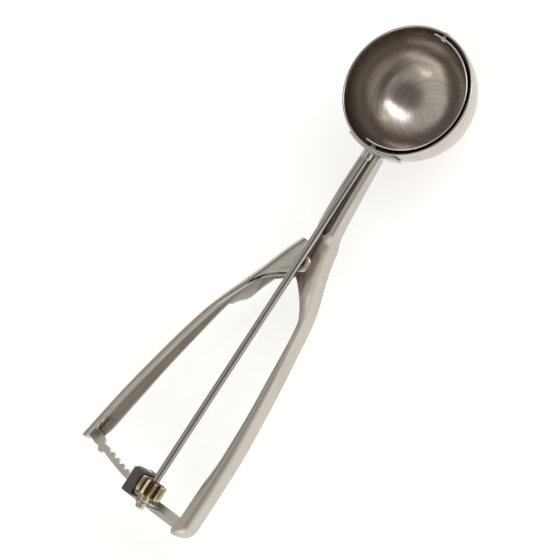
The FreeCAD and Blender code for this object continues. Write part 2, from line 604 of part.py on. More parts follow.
def rack(s, d):
    """A flat comb about the hinge, whose prongs pass under the idler, with a tab on the lever."""
    inside, outside = d.band_inside, d.band_inside + s.rack_band
    bottom = d.rack_top - s.rack_sheet
    pitch_angle = 360 / s.rack_teeth
    meshed = math.degrees(math.asin(d.idler_y / d.pitch_radius))
    corner, along, inward = lever_tail(s, d)
    tab_face = corner + inward * s.rack_sheet
    end_angle = math.degrees(math.atan2(tab_face.y, d.hinge_x - tab_face.x))
    start_angle = meshed - 1.5 * pitch_angle
    hinge = V(d.hinge_x, 0, 0)

    def spot(radius, angle):
        turn = math.radians(angle)
        return hinge + V(-radius * math.cos(turn), radius * math.sin(turn), bottom)

    middle = (start_angle + end_angle) / 2
    band = Part.Face(Part.Wire([
        Part.Arc(spot(outside, start_angle), spot(outside, middle), spot(outside, end_angle)).toShape(),
        Part.LineSegment(spot(outside, end_angle), spot(inside, end_angle)).toShape(),
        Part.Arc(spot(inside, end_angle), spot(inside, middle), spot(inside, start_angle)).toShape(),
        Part.LineSegment(spot(inside, start_angle), spot(outside, start_angle)).toShape(),
    ])).extrude(V(0, 0, s.rack_sheet))
    prongs = []
    half = s.rack_prong / 2
    for count in range(-PRONGS_BEFORE, PRONGS_AFTER + 1):
        angle = meshed + count * pitch_angle
        tip = spot(d.pitch_radius - s.prong_tip, angle)
        root = spot(inside + 1, angle)
        side = V(math.sin(math.radians(angle)), math.cos(math.radians(angle)), 0) * half
        nose = (tip - root).normalize() * (half * 0.6)
        corners = [root - side, tip - side - nose, tip - side * 0.4, tip + side * 0.4,
                   tip + side - nose, root + side]
        face = Part.Face(Part.makePolygon(corners + corners[:1]))
        prongs.append(face.extrude(V(0, 0, s.rack_sheet)))
    bump = Part.makeCylinder(s.stop_bump, s.rack_sheet, spot(outside, start_angle + s.stop_angle))
    # Tab against the web, as deep as the flat of the channel allows
    low = d.lever_bottom + s.lever_bend + s.corner_gap
    high = d.lever_top - s.lever_bend - s.corner_gap
    foot = V(corner.x, corner.y, low)
    tab_corners = [foot, foot + along * s.tab_length,
                   foot + along * s.tab_length + inward * s.rack_sheet, foot + inward * s.rack_sheet,
                   foot]
    tab = Part.Face(Part.makePolygon(tab_corners)).extrude(V(0, 0, high - low))
    reach = V(corner.x, corner.y, bottom) + inward * (s.rack_sheet / 2)
    link_corners = [spot(outside, end_angle), spot(inside, end_angle),
                    reach + along * s.rack_neck, reach, spot(outside, end_angle)]
    link = Part.Face(Part.makePolygon(link_corners)).extrude(V(0, 0, s.rack_sheet))
    body = band.multiFuse(prongs + [bump, tab, link])
    for place in rack_rivet_places(s, d):
        body = body.cut(rack_rivet_hole(s, d, place))
    return shaped("rack", body, V(0, 0, d.rod_z))


def rack_rivets(s, d):
    """Two rivets through the lever's web and the tab of the rack."""
    _, _, inward = lever_tail(s, d)
    rivets = []
    radius = s.rivet_radius * 0.7
    height = s.rivet_head_height * 0.8
    for place in rack_rivet_places(s, d):
        outer = place - inward * s.lever_wall
        inner = place + inward * s.rack_sheet
        length = (inner - outer).Length
        rivet = Part.makeCylinder(radius, length, outer, inward)
        rivet = rivet.fuse(Part.makeCylinder(radius * 1.9, height, outer - inward * height, inward))
        rivets.append(rivet.fuse(Part.makeCylinder(radius * 1.9, height, inner, inward)))
    return shaped("rack_rivets", Part.makeCompound(rivets), V(0, 0, d.rod_z))


def tooth_outline(s, d, first_angle):
    """The outline of a brass gear across its axis, as (y, z) points; one tooth at first_angle."""
    teeth = round(s.gear_teeth)
    pressure = math.radians(20)
    base = d.gear_radius * math.cos(pressure)
    half = math.pi / (2 * teeth) - s.backlash / (2 * d.gear_radius) + math.tan(pressure) - pressure
    radii = [base + (d.gear_tip - base) * step / 3 for step in range(4)]
    flank = [(d.gear_root, half)]
    for radius in radii:
        angle = math.acos(base / radius)
        flank.append((radius, half - (math.tan(angle) - angle)))
    outline = []
    for tooth in range(teeth):
        middle = first_angle + math.tau * tooth / teeth
        sides = [(r, middle - a) for r, a in flank] + [(r, middle + a) for r, a in reversed(flank)]
        outline += [(r * math.cos(a), r * math.sin(a)) for r, a in sides]
    return outline


def brass_gear(s, d, first_angle):
    """A gear with its hub behind, about the X axis."""
    corners = [V(d.gear_back, y, z) for y, z in tooth_outline(s, d, first_angle)]
    body = Part.Face(Part.makePolygon(corners + corners[:1])).extrude(V(s.gear_face, 0, 0))
    return body.fuse(Part.makeCylinder(s.hub_radius, s.gear_hub, V(d.hub_back, 0, 0), X_AXIS))


def idler_tooth_angle(s):
    """A gap of the idler faces straight down to the prong below it."""
    return math.radians(-90 + 180 / s.gear_teeth)


def idler_gear(s, d):
    """The brass idler between the rack and the rod's pinion."""
    bore = s.idler_pin_radius + s.pin_gap
    hole = Part.makeCylinder(bore, s.gear_hub + s.gear_face + 2, V(d.hub_back - 1, 0, 0), X_AXIS)
    body = brass_gear(s, d, idler_tooth_angle(s)).cut(hole)
    return shaped("idler_gear", body, V(0, d.idler_y, d.rod_z - d.idler_drop))


def rod_pinion(s, d):
    """The brass pinion on the rod, in mesh with the idler, with a hole for its cross pin."""
    to_idler = math.atan2(-d.idler_drop, d.idler_y)
    ahead = idler_tooth_angle(s) - (to_idler + math.pi)
    body = brass_gear(s, d, to_idler - ahead + math.pi / s.gear_teeth)
    length = s.gear_hub + s.gear_face + 2
    bore = s.rod_radius + s.pin_gap
    body = body.cut(Part.makeCylinder(bore, length, V(d.hub_back - 1, 0, 0), X_AXIS))
    body = body.cut(cross_pin(s, d))
    return shaped("rod_pinion", body, V(0, 0, d.rod_z))


def cross_pin(s, d):
    """The pin through the pinion's hub and the rod."""
    x = d.hub_back + s.gear_hub * 0.45
    return post(s.cross_pin_radius, 2 * s.hub_radius, x, 0, -s.hub_radius)


def pinion_pin(s, d):
    """The cross pin, cut flush with the hub."""
    hub = Part.makeCylinder(s.hub_radius, s.gear_hub, V(d.hub_back, 0, 0), X_AXIS)
    return shaped("pinion_pin", cross_pin(s, d).common(hub), V(0, 0, d.rod_z))


def sweep_rod(s, d):
    """The long rod: peened tail, plain shank and a stepped end that carries the blade."""
    tail = f"({EAR_BACK} - Sizes.pin_gap)"
    shoulder = f"(-{BOWL_INSIDE} + Sizes.blade_gap)"
    end = f"({shoulder} + Sizes.blade_sheet)"
    chamfer = "0.6"
    rod = turned("rod_turned_piece", [
        (f"{tail} - Sizes.rod_knob_length", "0"), (f"{end}", "0"),
        (f"{end}", "Sizes.rod_neck_radius"), (f"{shoulder}", "Sizes.rod_neck_radius"),
        (f"{shoulder}", "Sizes.rod_radius"), (f"{tail}", "Sizes.rod_radius"),
        (f"{tail}", "Sizes.rod_knob_radius"),
        (f"{tail} - Sizes.rod_knob_length + {chamfer}", "Sizes.rod_knob_radius"),
        (f"{tail} - Sizes.rod_knob_length", f"Sizes.rod_knob_radius - {chamfer}")])
    pin_x = f"{HUB_BACK} + Sizes.gear_hub * 0.45"
    hole = post_shaped("rod_pin_hole", "Sizes.cross_pin_radius", pin_x, "0",
                       f"{ROD_Z} - Sizes.rod_radius - 1", "2 * Sizes.rod_radius + 2")
    return node(cut("sweep_rod", rod, hole), "sweep_rod")


def ring(label, radius, bore, start, length, y="0", z=ROD_Z):
    """A turned ring along X."""
    corners = [(start, bore), (f"{start} + {length}", bore), (f"{start} + {length}", radius),
               (start, radius)]
    return node(turned(label, corners, ("0", y, z)), label)


def blade_pieces():
    """The sweeping blade: a strip of a thin shell, with square tabs past its two pivots."""
    outside = f"{BOWL_INSIDE} - Sizes.blade_gap"
    ball = bound("Part::Sphere", "blade_ball", {"Radius": outside})
    core = bound("Part::Sphere", "blade_core", {"Radius": f"{outside} - Sizes.blade_sheet"})
    shell = cut("blade_shell", ball, core)
    slab = bound("Part::Box", "blade_slab", {
        "Length": f"2 * Sizes.bowl_radius", "Width": "Sizes.bowl_radius + Sizes.blade_tab",
        "Height": "Sizes.blade_width"})
    slab.Placement = FreeCAD.Placement(V(0, 0, 0), FreeCAD.Rotation(X_AXIS, 1))
    tilt = f"(asin(Sizes.blade_width / 2 / ({outside})) - asin(Sizes.blade_edge / ({outside})))"
    slab.setExpression("Placement.Rotation.Angle", tilt)
    slab.setExpression("Placement.Base.x", "-Sizes.bowl_radius")
    slab.setExpression("Placement.Base.y", f"-Sizes.bowl_radius * cos({tilt})"
                       f" + Sizes.blade_width / 2 * sin({tilt})")
    slab.setExpression("Placement.Base.z", f"{ROD_Z} - Sizes.bowl_radius * sin({tilt})"
                       f" - Sizes.blade_width / 2 * cos({tilt})")
    strip = boolean("Part::MultiCommon", "blade_strip", shell, slab)
    rear = rod_shaped("blade_rear_hole", "Sizes.rod_neck_radius", "-Sizes.bowl_radius", "5")
    front = rod_shaped("blade_front_hole", "Sizes.pivot_radius", "Sizes.bowl_radius - 5", "5")
    return node(cut("sweep_blade", strip, rear, front), "sweep_blade")


def front_pivot():
    """The rivet that the blade turns on at the front of the bowl, with a head on each side."""
    head = "Sizes.rivet_head"
    strip = f"({BOWL_INSIDE} - Sizes.blade_gap - Sizes.blade_sheet)"
    inner = f"(sqrt({strip} ^ 2 - {head} ^ 2) - Sizes.pin_gap)"
    outer = "(Sizes.bowl_radius + Sizes.running_gap)"
    tall = "Sizes.rivet_head_height"
    return node(turned("front_pivot", [
        (f"{inner} - {tall}", "0"), (f"{outer} + {tall}", "0"), (f"{outer} + {tall}", f"{head} - 0.4"),
        (f"{outer} + {tall} * 0.4", head), (outer, head), (outer, "Sizes.pivot_radius"),
        (inner, "Sizes.pivot_radius"), (inner, head), (f"{inner} - {tall}", head)]), "front_pivot")


def hinge_pin():
    """The hinge rivet: a broad front head, a shank through arm and lever, and a closed head."""
    top = "(-Sizes.arm_top)"
    low = f"({HINGE_BOTTOM} - Sizes.washer_height)"
    soft = "0.3"
    return node(turned("hinge_pin", [
        (f"{low} - Sizes.hinge_head_height", "0"), (f"{top} + Sizes.hinge_head_height", "0"),
        (f"{top} + Sizes.hinge_head_height", f"Sizes.hinge_head_radius - {soft}"),
        (f"{top} + Sizes.hinge_head_height - {soft}", "Sizes.hinge_head_radius"),
        (top, "Sizes.hinge_head_radius"), (top, "Sizes.hinge_pin_radius"),
        (low, "Sizes.hinge_pin_radius"), (low, "Sizes.hinge_tail_radius"),
        (f"{low} - Sizes.hinge_head_height + {soft}", "Sizes.hinge_tail_radius"),
        (f"{low} - Sizes.hinge_head_height", f"Sizes.hinge_tail_radius - {soft}")],
        (HINGE_X, "0", ROD_Z), upright=True), "hinge_pin")


def hinge_washer():
    """The washer under the closed head of the hinge rivet."""
    low = f"({HINGE_BOTTOM} - Sizes.washer_height)"
    return node(turned("hinge_washer", [
        (low, "Sizes.hinge_pin_radius"), (HINGE_BOTTOM, "Sizes.hinge_pin_radius"),
        (HINGE_BOTTOM, "Sizes.washer_radius"), (low, "Sizes.washer_radius")],
        (HINGE_X, "0", ROD_Z), upright=True), "hinge_washer")


def gear_cage():
    """The bent strip over the idler: two legs that hold its pin, and a foot under the bar."""
    wall = "Sizes.cage_sheet"
    foot = f"({BAR_BOTTOM} - {wall})"
    soft = "0.9"
    outer = [(CAGE_BACK, foot), (CAGE_FRONT, foot), (CAGE_FRONT, f"{CAGE_TOP} - {soft}"),
             (f"{CAGE_FRONT} - {soft}", CAGE_TOP), (f"{CAGE_BACK} + {soft}", CAGE_TOP),
             (CAGE_BACK, f"{CAGE_TOP} - {soft}")]
    inner = [(f"{CAGE_BACK} + {wall}", BAR_BOTTOM), (f"{CAGE_FRONT} - {wall}", BAR_BOTTOM),
             (f"{CAGE_FRONT} - {wall}", f"{CAGE_TOP} - {wall}"),
             (f"{CAGE_BACK} + {wall}", f"{CAGE_TOP} - {wall}")]
    strip = plated("cage_strip", "XZ_Plane", [outer, inner], "Sizes.cage_width",
                   ("0", f"{IDLER_Y} + Sizes.cage_width / 2", ROD_Z))
    axis_z = f"{ROD_Z} - {IDLER_DROP}"
    bores = rod_shaped("cage_bores", "Sizes.idler_pin_radius", f"{CAGE_BACK} - 1",
                       f"{CAGE_FRONT} - {CAGE_BACK} + 2", IDLER_Y, axis_z)
    rivet_x = f"({HUB_BACK} + {BAR_BACK} + Sizes.bar_width) / 2"
    rivet = post_shaped("cage_rivet_hole", "Sizes.rivet_radius", rivet_x, IDLER_Y,
                        f"{ROD_Z} + {foot} - 1", f"{wall} + 2")
    return node(cut("gear_cage", strip, bores, rivet), "gear_cage")


def cage_rivet():
    """The flush rivet that holds the cage under the bar."""
    foot = f"({BAR_BOTTOM} - Sizes.cage_sheet)"
    rivet_x = f"({HUB_BACK} + {BAR_BACK} + Sizes.bar_width) / 2"
    return node(turned("cage_rivet", [
        (f"{foot} - Sizes.rivet_head_height", "0"), (BAR_TOP, "0"), (BAR_TOP, "Sizes.rivet_radius"),
        (foot, "Sizes.rivet_radius"), (foot, "Sizes.rivet_head"),
        (f"{foot} - Sizes.rivet_head_height", "Sizes.rivet_head")],
        (rivet_x, IDLER_Y, ROD_Z), upright=True), "cage_rivet")


def idler_pin():
    """The pin of the idler, peened over both legs of the cage."""
    start, end, head = f"({CAGE_BACK})", f"({CAGE_FRONT})", "(Sizes.idler_pin_radius + 0.5)"
    tall = "0.4"
    return node(turned("idler_pin", [
        (f"{start} - {tall}", "0"), (f"{end} + {tall}", "0"), (f"{end} + {tall}", head), (end, head),
        (end, "Sizes.idler_pin_radius"), (start, "Sizes.idler_pin_radius"), (start, head),
        (f"{start} - {tall}", head)],
        ("0", IDLER_Y, f"{ROD_Z} - {IDLER_DROP}")), "idler_pin")


def biarc(start, start_way, end, end_way):
    """Two arcs that join two points with given directions."""
    span = end - start
    both = start_way + end_way
    spread = 2 * (1 - start_way.dot(end_way))
    along = span.dot(both)
    reach = (-along + math.sqrt(along ** 2 + spread * span.dot(span))) / spread
    first, second = start + start_way * reach, end - end_way * reach
    joint = (first + second) * 0.5
    edges = []
    for a, corner, b in ((start, first, joint), (joint, second, end)):
        middle = (a + b) * 0.5
        cosine = (a - middle).Length / (a - corner).Length
        bulge = (corner - middle) * (cosine / (1 + cosine))
        edges.append(Part.Arc(a, middle + bulge, b).toShape())
    return edges


def way_to_wall(start, way, wall, room):
    """How far a wire goes from start before it rests, with some room, on a wall of (x, y) points."""
    for (x0, y0), (x1, y1) in zip(wall, wall[1:]):
        edge = V(x1 - x0, y1 - y0, 0)
        across = way.x * edge.y - way.y * edge.x
        distance = ((x0 - start.x) * edge.y - (y0 - start.y) * edge.x) / across
        share = ((x0 - start.x) * way.y - (y0 - start.y) * way.x) / across
        if distance > 0 and 0 <= share <= 1:
            return distance - room * edge.Length / abs(across)
    raise SystemExit("the leg of the spring meets no wall")


def return_spring(s, d):
    """The torsion spring on the hinge rivet: one wire in real turns, with a leg on each web."""
    inside = d.lever_top - d.lever_bottom - 2 * (s.lever_wall + SEAM + s.spring_room)
    height = inside - s.spring_wire
    low = (d.lever_top + d.lever_bottom - height) / 2
    start_angle = math.radians(s.spring_start)
    whole = math.tau * s.spring_turns - math.radians(s.spring_opening)
    steps = math.ceil(whole / (math.pi / 2))

    def spot(angle):
        turn = start_angle - angle
        z = low + height * angle / whole
        return V(s.spring_radius * math.cos(turn), s.spring_radius * math.sin(turn), z)

    def way(angle):
        turn = start_angle - angle
        slope = height / whole if 0 < angle < whole else 0
        return V(s.spring_radius * math.sin(turn), -s.spring_radius * math.cos(turn), slope).normalize()

    room = s.spring_wire / 2 + s.spring_room
    arm_web = [(x - d.hinge_x, s.sheet_wall - outer) for x, outer, _, _ in handle_stations(s, d)]
    lever_web = [(x - d.hinge_x, outer - s.lever_wall) for x, outer, _ in lever_stations(s, d)]
    first, last = spot(0), spot(whole)
    begin = first - way(0) * way_to_wall(first, way(0) * -1, arm_web, room)
    end = last + way(whole) * way_to_wall(last, way(whole), lever_web, room)
    angles = [whole * i / steps for i in range(steps + 1)]
    edges = [Part.LineSegment(begin, first).toShape()]
    for a, b in zip(angles, angles[1:]):
        edges += biarc(spot(a), way(a), spot(b), way(b))
    edges.append(Part.LineSegment(last, end).toShape())
    path = Part.Wire(edges)
    profile = Part.Wire(Part.Circle(begin, way(0), s.spring_wire / 2).toShape())
    shell = Part.BRepOffsetAPI.MakePipeShell(path)
    shell.add(profile)
    shell.build()
    shell.makeSolid()
    print_gap(path, s.spring_wire)
    return shaped("return_spring", shell.shape(), V(d.hinge_x, 0, d.rod_z))


def print_gap(path, wire):
    """Measure and print the least gap between the turns of a wire."""
    step = wire / 3
    points = path.discretize(Distance=step)
    skip = round(math.tau * 0.9 * 1.5 * wire / step)
    least = min((a - b).Length for i, a in enumerate(points) for b in points[i + skip:])
    print(f"least gap between the turns of the spring: {least - wire:.2f} mm")


def main():
    """Build every sub-part, check it and write it to its own file."""
    s = fill_sheet()
    d = places(s)
    bowl()
    bowl_saddle()
    fixed_arm(s, d)
    end_bar(s, d)
    bar_rivets(s, d)
    lever(s, d)
    hinge_pin()
    hinge_washer()
    return_spring(s, d)
    rack(s, d)
    rack_rivets(s, d)
    gear_cage()
    cage_rivet()
    idler_gear(s, d)
    idler_pin()
    sweep_rod(s, d)
    rod_pinion(s, d)
    pinion_pin(s, d)
    saddle_back = "(-Sizes.bowl_radius - Sizes.saddle_wall)"
    ring("neck_bush", "(Sizes.rod_radius + Sizes.rod_room)", "(Sizes.rod_radius + Sizes.pin_gap)",
         f"({saddle_back} - Sizes.bush_length)", "Sizes.bush_length")
    ring("tail_washer", "(Sizes.hub_radius - 0.2)", "(Sizes.rod_radius + Sizes.pin_gap)",
         f"({HUB_BACK} - Sizes.side_gap + 0.02)", "(Sizes.side_gap - 0.04)")
    blade_pieces()
    front_pivot()
    doc.recompute()
    os.makedirs("parts", exist_ok=True)
    failed = [item.Label for item in doc.Objects if "Invalid" in item.State or "Error" in item.State]
    bad = [item.Label for item in NODES if item.Shape.isNull() or not item.Shape.isValid()]
    if failed or bad:
        raise SystemExit(f"failed objects: {failed}; bad shapes: {bad}")
    for item in NODES:
        item.Shape.exportStep(f"parts/{item.Label}.step")
        print(f"{item.Label}: {item.Shape.Volume:.1f} mm3, {len(item.Shape.Solids)} solid(s)")


main()
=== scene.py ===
"""Lever ice cream scoop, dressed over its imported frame.

Sizes in the classes are millimetres in the frame's own axes: +X along the rod towards the bowl,
+Y to the side of the squeeze lever and +Z up out of the bowl. The meshes are in metres.
"""
import logging
import math
from bisect import bisect_right
from dataclasses import dataclass, field
from enum import Enum
from typing import Sequence

import bmesh
import bpy
from mathutils import Matrix, Vector


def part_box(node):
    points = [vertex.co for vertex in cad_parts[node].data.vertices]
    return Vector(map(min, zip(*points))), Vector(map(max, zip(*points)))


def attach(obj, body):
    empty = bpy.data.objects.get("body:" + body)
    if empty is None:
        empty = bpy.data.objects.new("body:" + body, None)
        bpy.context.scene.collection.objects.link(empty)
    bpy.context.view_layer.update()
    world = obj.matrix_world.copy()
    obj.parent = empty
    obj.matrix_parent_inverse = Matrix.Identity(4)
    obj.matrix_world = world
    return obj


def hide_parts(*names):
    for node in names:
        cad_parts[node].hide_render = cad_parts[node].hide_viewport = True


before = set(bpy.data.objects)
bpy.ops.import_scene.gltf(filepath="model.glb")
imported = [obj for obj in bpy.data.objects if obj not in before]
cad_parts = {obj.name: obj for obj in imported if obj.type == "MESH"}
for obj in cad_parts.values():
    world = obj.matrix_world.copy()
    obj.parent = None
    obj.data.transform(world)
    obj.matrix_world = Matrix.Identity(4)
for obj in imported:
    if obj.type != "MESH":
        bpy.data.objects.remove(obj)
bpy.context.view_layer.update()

LOG = logging.getLogger("scoop")
MM = 0.001
EDGE_SOFT = 0.12
Point = tuple[float, float, float]
Flat = tuple[float, float]


class Body(Enum):
    """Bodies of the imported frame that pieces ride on."""

    FRAME = "frame"
    LEVER = "lever_body"
    IDLER = "idler_body"
    SWEEP = "sweep_body"


class Slot(Enum):
    """Material slots of the record."""

    SATIN = "satin_steel"
    BRIGHT = "bright_steel"
    WIRE = "spring_wire"
    DARK = "dark_steel"
    BRASS = "brass"


@dataclass(frozen=True)
class Sizes:
    """The sizes that more than one sub-assembly needs, as in the part's source."""

    bowl_radius: float = 26.0
    bowl_wall: float = 0.8
    rim_over_rod: float = 3.2
    saddle_wall: float = 0.9
    rod_radius: float = 1.5
    hinge_x: float = -75.9
    arm_top: float = 2.6
    arm_depth: float = 10.0
    arm_spread: float = 21.0
    arm_flange: float = 5.3
    sheet_wall: float = 1.0
    lip_height: float = 0.2
    lever_gap: float = 0.3
    pitch_radius: float = 105.0
    prong_root: float = 1.4
    rack_sheet: float = 1.2
    bar_sheet: float = 1.2
    gear_teeth: int = 9
    rack_teeth: int = 210
    gear_radius: float = 4.5
    gear_root: float = 3.45
    gear_tip: float = 5.4
    gear_face: float = 5.9
    gear_hub: float = 2.6
    hub_radius: float = 2.8
    idler_drop: float = 4.6
    idler_pin_radius: float = 1.1
    cage_sheet: float = 1.0
    side_gap: float = 0.2
    ear_inset: float = 1.6
    corner_radius: float = 6.0
    foot_inset: float = 1.45

    @property
    def rod_z(self) -> float:
        """Height of the rod's axis."""
        return -self.rim_over_rod

    @property
    def idler_y(self) -> float:
        """Sideways place of the idler's axis."""
        return math.sqrt((2 * self.gear_radius) ** 2 - self.idler_drop ** 2)

    @property
    def gear_back(self) -> float:
        """Back face of the brass teeth."""
        reach = self.idler_y + 0.8 * self.gear_radius
        inside = self.pitch_radius + self.prong_root
        return self.hinge_x - math.sqrt(inside ** 2 - reach ** 2) + self.side_gap

    @property
    def hub_back(self) -> float:
        """Back face of the hubs."""
        return self.gear_back - self.gear_hub

    @property
    def ear_back(self) -> float:
        """Back face of the upright ear that carries the rod."""
        return self.hub_back - self.side_gap - self.bar_sheet

    @property
    def bar_back(self) -> float:
        """Back edge of the end bar."""
        return self.ear_back - self.ear_inset

    @property
    def corner_x(self) -> float:
        """Where the arm's corner at the tail begins."""
        return self.bar_back + self.corner_radius - self.foot_inset

    @property
    def rack_top(self) -> float:
        """Front face of the rack, from the rod's axis."""
        return -self.idler_drop - self.gear_root - 0.25

    @property
    def bar_top(self) -> float:
        """Front face of the bar, from the rod's axis."""
        return self.rack_top - self.rack_sheet - 0.1

    @property
    def bar_bottom(self) -> float:
        """Back face of the bar, from the rod's axis."""
        return self.bar_top - self.bar_sheet

    @property
    def hinge_bottom(self) -> float:
        """Back face of the arm at the hinge, from the rod's axis."""
        return -self.arm_top - self.arm_depth

    @property
    def lever_top(self) -> float:
        """Front face of the lever, from the rod's axis."""
        return -self.arm_top - self.sheet_wall - self.lever_gap

    @property
    def lever_bottom(self) -> float:
        """Back face of the lever, from the rod's axis."""
        return self.hinge_bottom + self.sheet_wall + self.lip_height + self.lever_gap


# Shader node groups


def new_tree(name: str, kind: str, takes: Sequence[tuple[str, str]],
             gives: Sequence[tuple[str, str]]) -> bpy.types.NodeTree:
    """A node tree with named inputs and outputs.

    Args:
        name: Name of the tree.
        kind: Type of the tree.
        takes: Names and socket types of the inputs.
        gives: Names and socket types of the outputs.

    Returns:
        The empty tree.
    """
    tree = bpy.data.node_groups.new(name, kind)
    for label, socket in takes:
        tree.interface.new_socket(label, in_out="INPUT", socket_type=socket)
    for label, socket in gives:
        tree.interface.new_socket(label, in_out="OUTPUT", socket_type=socket)
    return tree


class Wiring:
    """A short way to add and link the nodes of one tree."""

    def __init__(self, tree: bpy.types.NodeTree) -> None:
        """Take the tree.

        Args:
            tree: The tree to work on.
        """
        self.tree = tree

    def add(self, kind: str, **settings: object) -> bpy.types.Node:
        """Add a node.

        Args:
            kind: Type name of the node.
            settings: Properties to set on it.

        Returns:
            The new node.
        """
        made = self.tree.nodes.new(kind)
        for name, value in settings.items():
            setattr(made, name, value)
        return made

    def link(self, source: bpy.types.NodeSocket, target: bpy.types.NodeSocket) -> None:
        """Link an output to an input."""
        self.tree.links.new(source, target)

    def math(self, operation: str, first: object, second: object = 0.0,
             clamp: bool = False) -> bpy.types.NodeSocket:
        """Add a Math node.

        Args:
            operation: Its operation.
            first: A socket or a number.
            second: A socket or a number.
            clamp: Whether the result stays within 0 and 1.

        Returns:
            Its output.
        """
        made = self.add("ShaderNodeMath", operation=operation, use_clamp=clamp)
        for place, value in enumerate((first, second)):
            self.feed(value, made.inputs[place])
        return made.outputs[0]

    def feed(self, value: object, target: bpy.types.NodeSocket) -> None:
        """Link a socket, or set a plain value."""
        if isinstance(value, bpy.types.NodeSocket):
            self.link(value, target)
        else:
            target.default_value = value

    def noise(self, vector: bpy.types.NodeSocket, scale: object, detail: float = 3.0,
              rough: float = 0.55) -> bpy.types.NodeSocket:
        """Add a Noise Texture.

        Args:
            vector: Where it is read.
            scale: A socket or a number.
            detail: Octaves.
            rough: Roughness of the octaves.

        Returns:
            Its value.
        """
        made = self.add("ShaderNodeTexNoise")
        self.link(vector, made.inputs["Vector"])
        self.feed(scale, made.inputs["Scale"])
        made.inputs["Detail"].default_value = detail
        made.inputs["Roughness"].default_value = rough
        return made.outputs["Fac"]

    def spread(self, value: bpy.types.NodeSocket, low: float, high: float,
               to_low: object = 0.0, to_high: object = 1.0) -> bpy.types.NodeSocket:
        """Add a Map Range node.

        Args:
            value: The value to map.
            low: From.
            high: From.
            to_low: To, a socket or a number.
            to_high: To, a socket or a number.

        Returns:
            Its result.
        """
        made = self.add("ShaderNodeMapRange", interpolation_type="SMOOTHSTEP")
        self.link(value, made.inputs["Value"])
        for name, number in (("From Min", low), ("From Max", high), ("To Min", to_low),
                             ("To Max", to_high)):
            self.feed(number, made.inputs[name])
        return made.outputs["Result"]


